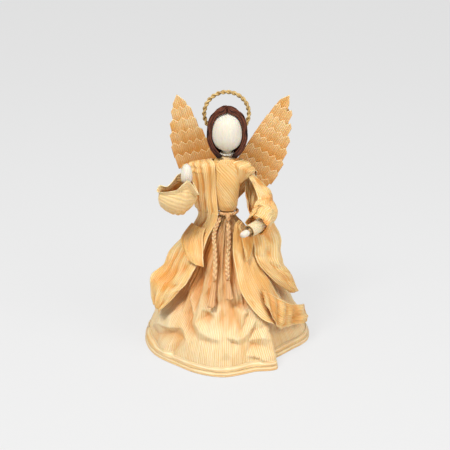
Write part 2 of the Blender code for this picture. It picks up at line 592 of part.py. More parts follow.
def build_drapes():
    deep = [(0.0, 0.3), (0.25, 0.5), (0.4, 1.4), (0.6, 1.6), (0.67, 0.8), (0.78, 2.0), (0.9, 2.6), (1.0, 1.0)]
    even = lambda depth: ((0, depth), (1, depth))
    husk_sheet("stole_left", draped(STOLE_LEFT, 5, deep), 10, 18, "husk_mantle")
    husk_sheet("stole_fold_left", draped(STOLE_FOLD, 1, even(1.5)), 5, 5, "husk_mantle")
    husk_sheet("mantle_right", draped(MANTLE_RIGHT, 2, ((0, 1.1), (0.6, 1.1), (1, 0.3))), 8, 10, "husk_mantle")
    husk_sheet("panel_inner_right", draped(PANEL_INNER, 2, even(0.6)), 5, 10, "husk_mantle")
    husk_sheet("panel_outer_right", draped(PANEL_OUTER, 2, even(1.6)), 7, 9, "husk_mantle")
    husk_sheet("panel_flap_right", draped(PANEL_FLAP), 2, 4, "husk_mantle")
    husk_sheet("frill_right", draped(FRILL, ripples=4, ripple_depth=1.6), 3, 14, "husk_mantle")


# Wings

def wing_point(side, length, across, lift):
    """A point on a wing in metres: length up it, across it away from the head, and lift in front of it."""
    tilt, foot, outline = WINGS[side]
    a = math.radians(tilt)
    out = foot * STEP + length * math.sin(a) + across * math.cos(a)
    height = NECK_HEIGHT - WING_FOOT_DROP + length * math.cos(a) - across * math.sin(a)
    return Vector((out if side == "right" else -out, WING_ROOT_DEPTH + WING_SWEEP * abs(out) - lift, height))


def build_wing(side):
    """A backing husk and the rows on its front: each row's pinked top edge covers the next row's foot."""
    outline = WINGS[side][2]
    inset = 1.2 * STEP
    total = ROW_PITCH * (ROW_COUNT - 1) + ROW_HEIGHT - TOOTH_DEPTH - inset

    def backing(u, v):
        length = inset + (total - inset) * v
        inner, outer = (x * STEP for x in between(outline, length / STEP))
        return wing_point(side, length, inner + inset + (outer - inner - 2 * inset) * u, 0)
    husk_sheet("wing_" + side + "_backing", backing, 3, 8, "husk_wing")
    rise = (ROW_HUSK + GAP) * ROW_HEIGHT / ROW_PITCH
    for row in range(ROW_COUNT):
        foot = ROW_PITCH * row
        inner, outer = (x * STEP for x in between(outline, (foot + 0.6 * ROW_HEIGHT) / STEP))
        teeth = max(1, round((outer - inner) / TOOTH_PITCH))

        def strip(u, v):
            valley = TOOTH_DEPTH * (round(2 * teeth * u) % 2 == 0) * v
            lift = HUSK / 2 + GAP + ROW_HUSK / 2 + rise * v
            return wing_point(side, foot + ROW_HEIGHT * v - valley, inner + (outer - inner) * u, lift)
        husk_sheet(f"wing_{side}_row_{row + 1}", strip, 2 * teeth, 1, "husk_wing", thickness=ROW_HUSK)


def main():
    for old in list(bpy.data.objects):
        bpy.data.objects.remove(old)
    build_skirt()
    build_hem_band()
    build_torso()
    build_bodice()
    build_tie()
    build_head()
    build_hair()
    build_halo()
    build_arms()
    build_sleeves()
    build_drapes()
    build_wing("left")
    build_wing("right")


main()
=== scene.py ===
# %% [markdown]
# # A corn husk angel
#
# The figure is folded, gathered and tied from dried corn husk: a bell skirt with a bound hem, a bodice
# wrapped on the slant, a long stole over one shoulder, wide sleeves, wings of pinked rows, a husk-covered
# ball for a head, brown fibre hair and a halo of two-ply straw cord.
#
# Almost every surface is the same thing: a thin ribbed sheet that creases like stiff paper. So the work
# is one way of making a husk sheet, one husk finish that follows the grain, and then a place for each
# sheet to hang.

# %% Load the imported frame
import math

import bmesh
import bpy
import numpy as np
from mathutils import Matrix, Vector
from mathutils.geometry import delaunay_2d_cdt


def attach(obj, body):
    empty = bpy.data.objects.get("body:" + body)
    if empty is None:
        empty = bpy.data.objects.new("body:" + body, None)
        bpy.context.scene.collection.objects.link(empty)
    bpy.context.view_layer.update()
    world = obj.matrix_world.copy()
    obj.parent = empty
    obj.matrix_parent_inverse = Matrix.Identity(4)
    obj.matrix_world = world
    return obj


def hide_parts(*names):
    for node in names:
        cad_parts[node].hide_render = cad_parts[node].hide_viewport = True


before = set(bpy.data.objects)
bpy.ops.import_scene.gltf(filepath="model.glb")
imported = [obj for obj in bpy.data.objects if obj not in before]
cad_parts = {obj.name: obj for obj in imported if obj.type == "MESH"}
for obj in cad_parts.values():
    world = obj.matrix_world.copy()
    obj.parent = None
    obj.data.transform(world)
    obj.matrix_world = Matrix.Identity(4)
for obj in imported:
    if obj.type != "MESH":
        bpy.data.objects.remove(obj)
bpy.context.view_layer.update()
MM = 0.001
print("solids in the frame:", len(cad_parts))

# %% [markdown]
# ## Camera
#
# The picture looks down on the figure by about 22 degrees. The tops of the shoulders and the curve of the
# hem both show it. The camera could be placed by hand until the outlines meet, but it is easier to aim it
# at the middle of the figure, 65 cm away, and to set the lens so that the figure fills the same part of
# the frame.

# %% Camera
SENSOR_WIDTH = 36
FRAME_PIXELS = 450
FOCAL_PIXELS = 1083.33
CAMERA_AWAY = 0.65
camera_data = bpy.data.cameras.new("camera")
camera_data.sensor_width = SENSOR_WIDTH
camera_data.lens = SENSOR_WIDTH * FOCAL_PIXELS / FRAME_PIXELS
camera = bpy.data.objects.new("camera", camera_data)
bpy.context.scene.collection.objects.link(camera)
aim = Vector((-1.2 * MM, 0, 73.5 * MM))
look_down = math.radians(22)
camera.location = aim + CAMERA_AWAY * Vector((0, -math.cos(look_down), math.sin(look_down)))
camera.rotation_euler = (aim - camera.location).to_track_quat("-Z", "Y").to_euler()
camera_data.clip_start = 0.01
bpy.context.scene.camera = camera
print("camera", CAMERA_AWAY, "m away, lens", round(camera_data.lens, 1), "mm")

# %% [markdown]
# ## Curves and noise
#
# Tables of a few measured points say where each edge hangs. Bezier curves drawn by hand could do the same,
# but a table is easy to read and to correct. A smooth curve through its points gives everything between.
# The helpers work on whole arrays, so a sheet of fifty thousand points takes only a moment.
#
# Husk that was damp and then crushed dries in flat facets with sharp edges, longer down the grain than
# across it. Cloud noise would only give round hills. A few zigzags laid over each other at different
# slants, each fading in and out, give the facets and keep their edges sharp.

# %% Curves through points
def between(knots, x):
    """The values at x on a smooth curve through knots, each (x, value, value, ...)."""
    knots = np.asarray(knots, float)
    x = np.clip(np.asarray(x, float), knots[0, 0], knots[-1, 0])
    last = len(knots) - 1
    i = np.clip(np.searchsorted(knots[:, 0], x, side="right") - 1, 0, last - 1)
    width = knots[i + 1, 0] - knots[i, 0]
    t = ((x - knots[i, 0]) / width)[..., None]
    slopes = []
    for j in (i, i + 1):
        low, high = knots[np.maximum(j - 1, 0)], knots[np.minimum(j + 1, last)]
        slopes.append((high - low)[..., 1:] / (high - low)[..., :1] * width[..., None])
    a, b = knots[i][..., 1:], knots[i + 1][..., 1:]
    value = ((2 * t**3 - 3 * t**2 + 1) * a + (t**3 - 2 * t**2 + t) * slopes[0]
             + (3 * t**2 - 2 * t**3) * b + (t**3 - t**2) * slopes[1])
    return value[..., 0] if value.shape[-1] == 1 else value


def along(points, t):
    """The values at t, from 0 to 1, on a smooth curve through evenly counted points."""
    return between([(i / (len(points) - 1), *point) for i, point in enumerate(points)], t)


def smooth(low, high, x):
    """From 0 below low to 1 above high."""
    t = np.clip((np.asarray(x, float) - low) / (high - low), 0, 1)
    return t * t * (3 - 2 * t)


# %% Noise for folds and creases
def noise(x, y, pick=0):
    """Smooth random heights from -1 to 1, one hill or hollow to each unit of x and y."""
    x, y = np.broadcast_arrays(np.asarray(x, float), np.asarray(y, float))
    left, low = np.floor(x), np.floor(y)
    a, b = x - left, y - low
    a, b = a * a * (3 - 2 * a), b * b * (3 - 2 * b)

    def corner(i, j):
        mixed = np.sin((left + i) * 127.1 + (low + j) * 311.7 + pick * 74.7) * 43758.5453
        return 2 * (mixed - np.floor(mixed)) - 1
    lower = corner(0, 0) * (1 - a) + corner(1, 0) * a
    upper = corner(0, 1) * (1 - a) + corner(1, 1) * a
    return lower * (1 - b) + upper * b


def zigzag(x):
    """Straight up and down between 0 and 1, once in each unit of x."""
    return np.abs((np.asarray(x, float) % 1) * 2 - 1)


# Each set of creases has a slant in degrees, a distance between creases and a share of the height.
CREASE_SETS = ((20, 1.0, 1.0), (-37, 0.85, 0.9), (3, 0.5, 0.55), (72, 1.5, 0.7), (-12, 0.33, 0.3))


def crumpled(x, y, size, pick=0):
    """Flat facets between sharp creases, from 0 to 1. In mm: x across the grain, y along it."""
    total, most = 0, 0
    for k, (turn, long, share) in enumerate(CREASE_SETS):
        a = math.radians(turn)
        run = (x * math.cos(a) + y * math.sin(a)) / (size * long)
        run = run + 0.22 * noise(x / (1.6 * size), y / (2.2 * size), pick + k)
        strong = share * smooth(-0.7, 0.6, noise(x / (1.4 * size) + 7, y / (2.1 * size), pick + 20 + k))
        total = total + strong * zigzag(run)
        most += share
    return total / (0.75 * most)


# %% [markdown]
# ## A husk sheet
#
# A sheet is a fine grid. One function says where each point of the grid hangs, and the same grid carries
# the grain: how far across and how far along the husk each point lies, in millimetres. The ribs of the
# finish follow that, so they bend and fan out with every fold. A second number on each point, the depth
# mark, says how deep in a fold it lies, and the finish paints shade there in deeper orange. Below 0 the
# mark paints a highlight.
#
# A cloth simulation could drape such sheets too. It takes longer to run, and it wouldn't put the folds
# where this figure has them, so the folds are worked out instead.

# %% A piece and its grid
SHEET_SEAM = 0.01 * MM
TUBE_SEAM = 0.005 * MM


def put(name, bm, nodes, finish):
    """Turns a bmesh into a piece that rides on the figure and stands for its solids."""
    mesh = bpy.data.meshes.new(name)
    bm.to_mesh(mesh)
    bm.free()
    mesh.shade_smooth()
    mesh.materials.append(finish)
    piece = bpy.data.objects.new(name, mesh)
    bpy.context.scene.collection.objects.link(piece)
    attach(piece, "root")
    if nodes:
        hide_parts(*nodes)
    return piece


def woven_grid(place, across, down, grain, deep=None, closed=False):
    """A bmesh grid at place(u, v), with its grain map and the depth mark of each point, which paints shade
    and highlights.
    """
    bm = bmesh.new()
    bmesh.ops.create_grid(bm, x_segments=across, y_segments=down, size=0.5)
    share = np.array([vertex.co[:] for vertex in bm.verts])[:, :2] + 0.5
    u, v = share[:, 0], share[:, 1]
    where = place(u, v)
    depth = deep(u, v) if deep else np.zeros(len(u))
    run = grain(u, v)
    map_layer = bm.loops.layers.uv.new("grain")
    deep_layer = bm.verts.layers.float.new("deep")
    for vertex, point, hollow in zip(bm.verts, where, depth):
        vertex.co = point
        vertex[deep_layer] = hollow
    bm.verts.index_update()
    for face in bm.faces:
        for loop in face.loops:
            loop[map_layer].uv = run[loop.vert.index]
    if closed:
        bmesh.ops.remove_doubles(bm, verts=bm.verts, dist=SHEET_SEAM)
    return bm


# %% Sheets and tubes
def husk_sheet(name, place, across, down, nodes, finish, grain, deep=None, thickness=0.45 * MM,
               closed=False, side=0.0):
    """A sheet of husk, which a Solidify modifier gives its thickness."""
    bm = woven_grid(place, across, down, grain, deep, closed)
    bmesh.ops.recalc_face_normals(bm, faces=bm.faces)
    piece = put(name, bm, nodes, finish)
    shell = piece.modifiers.new("thickness", "SOLIDIFY")
    shell.thickness = thickness
    shell.offset = side
    shell.use_even_offset = False
    return piece


def tube_points(centre, across_way, up_way, wide, deep, u):
    """Points at u, from 0 to 1, round an oval that is set square to a path."""
    a = 2 * np.pi * u
    return centre + across_way * (wide * np.cos(a))[:, None] + up_way * (deep * np.sin(a))[:, None]


def frames(path, t, reference):
    """Points on a path at t, with two directions square to it."""
    ahead = path(np.minimum(t + 0.004, 1)) - path(np.maximum(t - 0.004, 0))
    ahead /= np.linalg.norm(ahead, axis=1)[:, None]
    side = np.cross(ahead, np.asarray(reference, float))
    side /= np.linalg.norm(side, axis=1)[:, None]
    return path(t), side, np.cross(side, ahead)


def close_tube(bm, ring):
    """Joins the seam, fills the two ends unless the tube is a ring, and turns the faces outwards."""
    bmesh.ops.remove_doubles(bm, verts=bm.verts, dist=TUBE_SEAM)
    if not ring:
        bmesh.ops.holes_fill(bm, edges=[e for e in bm.edges if e.is_boundary], sides=0)
    bmesh.ops.recalc_face_normals(bm, faces=bm.faces)


def solid_tube(name, place, around_count, along_count, nodes, finish, grain, deep=None, ring=False):
    """A closed solid whose skin is place(u round it, v along it)."""
    bm = woven_grid(place, around_count, along_count, grain, deep)
    close_tube(bm, ring)
    return put(name, bm, nodes, finish)


# %% [markdown]
# ## The husk finish
#
# Dried husk has a soft sheen, is straw-gold to pale cream, and is ribbed along its length with a vein
# about every millimetre. Some ribs are paler and some browner, broad patches differ, and a little light
# comes through it warm. A photograph of husk laid over the pieces would show the same patch again and
# again, so the finish is worked out. It reads the grain map for ribs and streaks, object coordinates for
# patches and specks, and the depth mark for painted shade, a deeper orange in folds, and for painted
# highlights on ridges.

# %% Finish helpers
def start_finish(name, rough, specular=0.3, glow=0.0):
    """A material whose fixed numbers are set on its shader, and glow is how much light it lets through."""
    finish = bpy.data.materials.new(name)
    finish.use_nodes = True
    tree = finish.node_tree
    shader = tree.nodes["Principled BSDF"]
    shader.inputs["Roughness"].default_value = rough
    shader.inputs["Specular IOR Level"].default_value = specular
    if glow:
        shader.inputs["Subsurface Weight"].default_value = glow
        shader.inputs["Subsurface Radius"].default_value = (1.0, 0.5, 0.2)
        shader.inputs["Subsurface Scale"].default_value = 0.9 * MM
    return finish, tree, shader


def node(tree, kind, **settings):
    made = tree.nodes.new(kind)
    for key, value in settings.items():
        setattr(made, key, value)
    return made


def feed(tree, socket, value):
    """Links a socket to another node's, or sets it to a number or a colour."""
    if hasattr(value, "is_linked"):
        tree.links.new(value, socket)
    elif isinstance(value, tuple):
        socket.default_value = (*value, 1)
    else:
        socket.default_value = value


def maths(tree, operation, a, b, clamp=False):
    made = node(tree, "ShaderNodeMath", operation=operation, use_clamp=clamp)
    feed(tree, made.inputs[0], a)
    feed(tree, made.inputs[1], b)
    return made.outputs[0]


def mixed(tree, share, a, b):
    """A colour between a and b."""
    made = node(tree, "ShaderNodeMix", data_type="RGBA")
    feed(tree, made.inputs["Factor"], share)
    feed(tree, made.inputs[6], a)
    feed(tree, made.inputs[7], b)
    return made.outputs[2]


# %% Pattern helpers
def stretched(tree, source, scale):
    """A place that has been scaled by a different number each way, for patterns that run along a grain."""
    made = node(tree, "ShaderNodeMapping")
    tree.links.new(source, made.inputs["Vector"])
    made.inputs["Scale"].default_value = scale
    return made.outputs["Vector"]


def noise_field(tree, vector, scale, detail=2.0, rough=0.5):
    made = node(tree, "ShaderNodeTexNoise")
    tree.links.new(vector, made.inputs["Vector"])
    feed(tree, made.inputs["Scale"], scale)
    made.inputs["Detail"].default_value = detail
    made.inputs["Roughness"].default_value = rough
    return made.outputs["Fac"]


def ranged(tree, value, low, high, to_low=0.0, to_high=1.0):
    """Takes the part of a value between low and high to a new range, and holds it there."""
    made = node(tree, "ShaderNodeMapRange")
    tree.links.new(value, made.inputs["Value"])
    made.inputs["From Min"].default_value = low
    made.inputs["From Max"].default_value = high
    made.inputs["To Min"].default_value = to_low
    made.inputs["To Max"].default_value = to_high
    return made.outputs["Result"]


# %% Shader groups
def start_group(name, takes, gives):
    """A shader group with named sockets: its tree, what goes in and what comes out."""
    group = bpy.data.node_groups.new(name, "ShaderNodeTree")
    for title, kind in takes:
        group.interface.new_socket(name=title, in_out="INPUT", socket_type="NodeSocket" + kind)
    for title, kind in gives:
        group.interface.new_socket(name=title, in_out="OUTPUT", socket_type="NodeSocket" + kind)
    return group, group.nodes.new("NodeGroupInput").outputs, group.nodes.new("NodeGroupOutput").inputs


def placed_group(tree, group, values):
    """The group in a material, with this material's values on its sockets."""
    made = node(tree, "ShaderNodeGroup", node_tree=group)
    for title, value in values.items():
        feed(tree, made.inputs[title], value)
    return made.outputs


def give_bump(tree, shader, height, strength, distance):
    bump = node(tree, "ShaderNodeBump")
    bump.inputs["Strength"].default_value = strength
    bump.inputs["Distance"].default_value = distance
    tree.links.new(height, bump.inputs["Height"])
    tree.links.new(bump.outputs["Normal"], shader.inputs["Normal"])


# %% The husk grain, one group for every husk
def husk_grain():
    """Pale ribs on the body colour, brown patches, painted shade in the hollows and painted highlights on
    ridges.
    """
    takes = [("Grain", "Vector"), ("Place", "Vector"), ("Deep", "Float"), ("Pale", "Color"),
             ("Body", "Color"), ("Brown", "Color"), ("Painted shade", "Color"), ("Rib scale", "Float"),
             ("Patch scale", "Float"), ("Rib share", "Float"), ("Brown share", "Float")]
    gives = [("Colour", "Color"), ("Roughness", "Float"), ("Height", "Float")]
    tree, given, result = start_group("husk grain", takes, gives)
    ribs = node(tree, "ShaderNodeTexWave", wave_type="BANDS", bands_direction="X", wave_profile="SIN")
    tree.links.new(stretched(tree, given["Grain"], (1, 0.04, 1)), ribs.inputs["Vector"])
    tree.links.new(given["Rib scale"], ribs.inputs["Scale"])
    ribs.inputs["Distortion"].default_value = 1.6
    ribs.inputs["Detail"].default_value = 2
    ribs.inputs["Detail Scale"].default_value = 0.8
    streaks = noise_field(tree, stretched(tree, given["Grain"], (1.6, 0.035, 1)), 1.0, 3, 0.6)
    bands = noise_field(tree, stretched(tree, given["Grain"], (0.22, 0.012, 1)), 1.0, 2, 0.5)
    patches = noise_field(tree, given["Place"], given["Patch scale"], 3, 0.55)
    specks = noise_field(tree, given["Place"], 900, 2, 0.6)

    rib_light = maths(tree, "MULTIPLY", ribs.outputs["Fac"], given["Rib share"])
    rib_light = maths(tree, "ADD", rib_light, ranged(tree, streaks, 0.3, 0.7, -0.25, 0.4), clamp=True)
    colour = mixed(tree, rib_light, given["Body"], given["Pale"])
    brown_patch = ranged(tree, patches, 0.42, 0.72, 0, 0.7)
    browner = maths(tree, "ADD", brown_patch, ranged(tree, bands, 0.45, 0.75, 0, 0.6))
    browner = maths(tree, "MULTIPLY", browner, given["Brown share"], clamp=True)
    colour = mixed(tree, browner, colour, given["Brown"])
    # A depth mark above 0 paints shade in a hollow and one below 0 paints a highlight on a ridge or edge.
    # The clamps keep the two apart.
    colour = mixed(tree, maths(tree, "MULTIPLY", given["Deep"], 1.0, clamp=True), colour, given["Painted shade"])
    colour = mixed(tree, maths(tree, "MULTIPLY", given["Deep"], -1.0, clamp=True), colour, given["Pale"])
    colour = mixed(tree, ranged(tree, specks, 0.62, 0.8, 0, 0.25), colour, given["Brown"])
    tree.links.new(colour, result["Colour"])
    tree.links.new(ranged(tree, streaks, 0.2, 0.8, 0.34, 0.54), result["Roughness"])
    height = maths(tree, "ADD", maths(tree, "MULTIPLY", ribs.outputs["Fac"], 0.6),
                   maths(tree, "MULTIPLY", streaks, 0.8))
    tree.links.new(maths(tree, "ADD", height, maths(tree, "MULTIPLY", specks, 0.12)), result["Height"])
    return tree


HUSK_GRAIN = husk_grain()


# %% Husk finishes
def husk_finish(name, pale, body, brown, fold, pitch=0.8, patch=45, rib_mix=0.45, brown_mix=0.5, glow=0.2):
    """A husk finish with its own colours, the distance between its ribs in mm, and how much each shows."""
    finish, tree, shader = start_finish(name, 0.45, 0.5, glow)
    values = {"Grain": node(tree, "ShaderNodeUVMap", uv_map="grain").outputs["UV"],
              "Place": node(tree, "ShaderNodeTexCoord").outputs["Object"],
              "Deep": node(tree, "ShaderNodeAttribute", attribute_name="deep").outputs["Fac"],
              "Pale": pale, "Body": body, "Brown": brown, "Painted shade": fold,
              "Rib scale": 2 * math.pi / (20 * pitch), "Patch scale": patch,
              "Rib share": rib_mix, "Brown share": brown_mix}
    grain = placed_group(tree, HUSK_GRAIN, values)
    tree.links.new(grain["Colour"], shader.inputs["Base Color"])
    tree.links.new(grain["Roughness"], shader.inputs["Roughness"])
    give_bump(tree, shader, grain["Height"], 1.0, 0.28 * MM)
    return finish


# The fourth colour of each finish is the painted shade that the depth mark lays in folds and creases.
GOWN = husk_finish("husk_gown", (0.97, 0.80, 0.51), (0.82, 0.52, 0.21), (0.80, 0.41, 0.10),
                   (0.74, 0.27, 0.03), pitch=1.15, rib_mix=0.95)
MANTLE = husk_finish("husk_mantle", (0.96, 0.76, 0.43), (0.82, 0.495, 0.16), (0.80, 0.39, 0.065),
                     (0.74, 0.27, 0.02), pitch=1.05, rib_mix=0.7, brown_mix=0.8)
SLEEVE = husk_finish("husk_sleeve", (0.96, 0.79, 0.48), (0.86, 0.59, 0.26), (0.80, 0.44, 0.11),
                     (0.74, 0.31, 0.04), pitch=1.5, rib_mix=0.35, brown_mix=0.5)
WING = husk_finish("husk_wing", (0.95, 0.68, 0.36), (0.80, 0.46, 0.16), (0.76, 0.36, 0.07),
                   (0.64, 0.25, 0.025), pitch=1.25, patch=90, rib_mix=1.0, brown_mix=0.9)
PALE = husk_finish("husk_pale", (0.91, 0.86, 0.74), (0.85, 0.78, 0.64), (0.78, 0.67, 0.48),
                   (0.66, 0.52, 0.36), rib_mix=0.5, brown_mix=0.2, glow=0.25)
CUFF = husk_finish("husk_cuff", (0.91, 0.80, 0.56), (0.84, 0.68, 0.42), (0.78, 0.56, 0.30),
                   (0.50, 0.26, 0.08), brown_mix=0.3)
TIE = husk_finish("husk_tie", (0.95, 0.69, 0.39), (0.87, 0.49, 0.21), (0.80, 0.38, 0.11),
                  (0.58, 0.19, 0.05), pitch=0.5, brown_mix=0.4)
CORE = husk_finish("husk_core", (0.80, 0.62, 0.36), (0.70, 0.50, 0.26), (0.58, 0.36, 0.15),
                   (0.50, 0.26, 0.08), pitch=0.7)
print("husk finishes made")


# %% [markdown]
# ## The round body under the drapes
#
# The skirt and torso are round forms, and every drape is placed by its angle round them, its level and
# how far it stands out. Plain x, y and z would do too, but a drape placed round the body can't sink into
# it by mistake. The sizes are those of the solids: waist at 84 mm, neck at 118 mm, hem 50 mm in radius.
# Levels run from 0 at the floor to 1 at the waist and 2 at the neck.

# %% Sizes
WAIST, NECK, HEAD_HIGH = 84 * MM, 118 * MM, 26.9 * MM
HEM_R, WAIST_R, HEAD_R = 50 * MM, 4.5 * MM, 9.0 * MM
PLEATS = 15

# The outline goes from the hem's radius (1) to the waist's (0), level by level. The plan says how many mm
# further out or in the hem lies at each angle, and the last table how much of that is left higher up.
SKIRT_OUTLINE = [(0.0, 1.0), (0.12, 0.94), (0.26, 0.841), (0.36, 0.753), (0.5, 0.612), (0.7, 0.382),
                 (0.86, 0.17), (0.94, 0.036), (0.97, 0.006), (1.0, 0.0)]
PLEAT_SHARE = [(0.0, 0.12), (0.12, 0.2), (0.26, 0.42), (0.45, 0.9), (0.7, 1.0), (0.88, 0.45), (1.0, 0.04)]
HEM_PLAN = [(-180, 0.0), (-150, 0.4), (-127, -0.8), (-108, 1.8), (-92, 3.0), (-78, 0.2), (-70, -0.6),
            (-60, 2.2), (-55.5, 1.8), (-49, -6.9), (-42, -8.2), (-27, -6.4), (-8, -0.2), (20, 0.6),
            (60, 1.0), (90, 3.0), (130, 0.8), (180, 0.0)]
PLAN_SHARE = [(0.0, 1.0), (0.18, 0.95), (0.34, 0.35), (0.5, 0.1), (0.7, 0.0), (1.0, 0.0)]


def height_at(level):
    """The height of a level: 0 is the floor, 1 the waist and 2 the neck."""
    level = np.asarray(level, float)
    return np.where(level <= 1, WAIST * level, WAIST + (NECK - WAIST) * (level - 1))


# %% The skirt's and torso's round forms
def skirt_ridge(degrees, level):
    """How far out the skirt's ridges lie."""
    turned = (np.asarray(degrees, float) + 180) % 360 - 180
    plain = WAIST_R + (HEM_R - WAIST_R) * between(SKIRT_OUTLINE, level)
    return plain + between(HEM_PLAN, turned) * MM * between(PLAN_SHARE, level)


def torso_halves(level):
    """The torso's half width and half depth."""
    outline = [(1.0, 3.9, 3.705), (1.3, 4.992, 4.557), (1.55, 6.24, 4.9), (1.70, 7.83, 4.9),
               (1.79, 9.0, 4.704), (1.88, 6.93, 4.312), (1.94, 4.86, 3.773), (1.985, 3.3, 3.0)]
    return between(outline, level) * MM


def torso_reach(degrees, level):
    halves = torso_halves(level)
    a = np.radians(degrees)
    return 1 / np.hypot(np.cos(a) / halves[..., 0], np.sin(a) / halves[..., 1])


def around(degrees, level, lift):
    """Points that stand lift mm out from the skirt (level 0 to 1) or square off the torso (1 to 2)."""
    degrees, level, lift = np.broadcast_arrays(*(np.asarray(x, float) for x in (degrees, level, lift)))
    rise = (torso_reach(degrees, level + 0.01) - torso_reach(degrees, level - 0.01)) / 0.02
    slant = np.hypot(1, rise / (NECK - WAIST))
    reach = np.where(level <= 1, skirt_ridge(degrees, np.minimum(level, 1)) + lift * MM,
                     torso_reach(degrees, level) + lift * MM * slant)
    a = np.radians(degrees)
    return np.stack([reach * np.cos(a), reach * np.sin(a), height_at(level)], axis=-1)


# %% [markdown]
# ## Skirt
#
# One wide husk is gathered into the waist. Just under the tie the gathers are narrow and deep. Lower down
# they open out, and the husk keeps the flat facets and sharp creases of the damp sheet that dried in that
# shape. The front panel ends in a folded edge on the figure's left, where the hem steps back.
#
# Sculpting could make the facets, but here they are numbers. The large facets on the front are a
# table of corners with flat triangles between them. The gathers and the small creases all round come from
# waves, because nobody would miss any one of them.

# %% The large facets on the front of the skirt
# Each point is an angle, a level and how far it stands out in mm. The husk is flat between them.
FACET_POINTS = [
    (-144, 0.433, -3.0), (-136, 0.474, 0.5), (-126, 0.512, -2.5), (-116, 0.477, 1.0), (-108, 0.477, -2.5),
    (-102, 0.495, 0.5), (-96, 0.430, -0.6), (-90, 0.458, 0.0), (-85, 0.430, -0.9), (-78, 0.482, 1.2),
    (-71, 0.422, -1.2), (-69, 0.385, 1.0),
    (-172, 0.24, -0.8), (-158, 0.261, 1.6), (-144, 0.295, 2.2), (-136, 0.333, 0.0), (-127, 0.324, -2.8),
    (-122, 0.341, 0.0), (-114, 0.403, 2.0), (-108, 0.353, -2.0), (-106, 0.394, 1.0), (-100, 0.360, 0.9),
    (-95, 0.345, -1.4), (-90, 0.370, -0.2), (-83, 0.361, -1.2), (-75, 0.377, 1.7), (-71, 0.359, -0.7),
    (-65, 0.331, 1.6), (-57, 0.281, 0.8),
    (-175, 0.10, -1.0), (-159, 0.194, 1.8), (-141, 0.230, 2.2), (-130, 0.248, 1.0), (-125, 0.264, -2.2),
    (-118, 0.305, 1.6), (-112, 0.272, 2.0), (-104, 0.252, 2.0), (-96, 0.236, 1.4), (-91, 0.248, 0.3),
    (-84, 0.239, 2.2), (-78, 0.240, 1.8), (-78, 0.268, -1.0), (-72, 0.263, 1.2), (-68, 0.257, -1.4),
    (-63, 0.226, 2.2), (-56, 0.205, 1.2),
    (-157, 0.110, -1.8), (-139, 0.187, -1.8), (-129, 0.171, -1.8), (-122, 0.181, 1.4), (-113, 0.213, -0.3),
    (-102, 0.204, -0.9), (-96, 0.200, 0.5), (-91, 0.172, 1.2), (-86, 0.201, -1.3), (-80, 0.188, 0.3),
    (-73, 0.199, -0.6), (-69, 0.163, -2.2), (-61, 0.157, -0.8), (-54, 0.096, 1.0),
    (-169, 0.02, -0.5), (-155, 0.047, -1.3), (-141, 0.083, 0.5), (-134, 0.065, -1.8), (-128, 0.087, 0.8),
    (-116, 0.118, 0.0), (-103, 0.122, 0.5), (-95, 0.113, 0.6), (-90, 0.099, -0.6), (-87, 0.113, 0.6),
    (-78, 0.109, 0.2), (-71, 0.10, 0.5), (-69, 0.081, -0.9), (-65, 0.082, 0.6), (-55, 0.041, 0.5),
]
FACET_POINTS += [(angle, 0.62, 0.0) for angle in range(-180, -40, 15)]
FACET_POINTS += [(angle, 0.0, 0.0) for angle in range(-180, -40, 15)]
FACET_POINTS += [(side, level, 0.0) for side in (-180, -46) for level in (0.1, 0.2, 0.3, 0.4, 0.5)]
print(len(FACET_POINTS), "facet corners")

# %% Flat triangles between the facet points
# Laid flat, the skirt is a radius of 40 mm times its angle wide, and 92 mm down its slant.
FLAT_R, FLAT_DOWN = 40, 92
FACET_GAIN = 1.35


def facet_corners():
    """The triangles between the facet points, each corner in mm round, up and out."""
    flat = [(math.radians(angle) * FLAT_R, level * FLAT_DOWN, out) for angle, level, out in FACET_POINTS]
    made = delaunay_2d_cdt([Vector(point[:2]) for point in flat], [], [], 0, 0.0001)
    return [[flat[made[3][i][0]] for i in face] for face in made[2]]


FACETS = facet_corners()


def facet_height(degrees, level):
    """How far the facets stand out at an angle and level, in mm, and 0 outside them."""
    x, y = np.radians(degrees) * FLAT_R, level * FLAT_DOWN
    height = np.zeros(np.shape(x))
    for (ax, ay, a_out), (bx, by, b_out), (cx, cy, c_out) in FACETS:
        size = (bx - ax) * (cy - ay) - (cx - ax) * (by - ay)
        s = ((x - ax) * (cy - ay) - (cx - ax) * (y - ay)) / size
        t = ((bx - ax) * (y - ay) - (x - ax) * (by - ay)) / size
        inside = (s > -1e-6) & (t > -1e-6) & (s + t < 1 + 1e-6)
        out = a_out + s * (b_out - a_out) + t * (c_out - a_out)
        height = np.where(inside, FACET_GAIN * out, height)
    return height


print(len(FACETS), "facets")


# %% Gathers and creases of the skirt
def gather_wave(degrees):
    """From 0 in a hollow to 1 on a ridge, unevenly spaced round the skirt."""
    a = np.radians(degrees)
    drift = 0.55 * np.sin(3 * a + 0.7) + 0.3 * np.sin(5 * a + 2.1)
    return 0.5 + 0.5 * np.cos(PLEATS * a + drift)


def fine_gathers(degrees, level):
    """Narrow sharp pleats under the tie."""
    a = np.radians(degrees)
    wave = np.abs(np.sin(24 * a + 1.5 * np.sin(5 * a) + 2.0 * np.sin(3 * level + 2 * a)))
    return wave * smooth(0.42, 0.72, level) * (1 - smooth(0.93, 0.99, level))


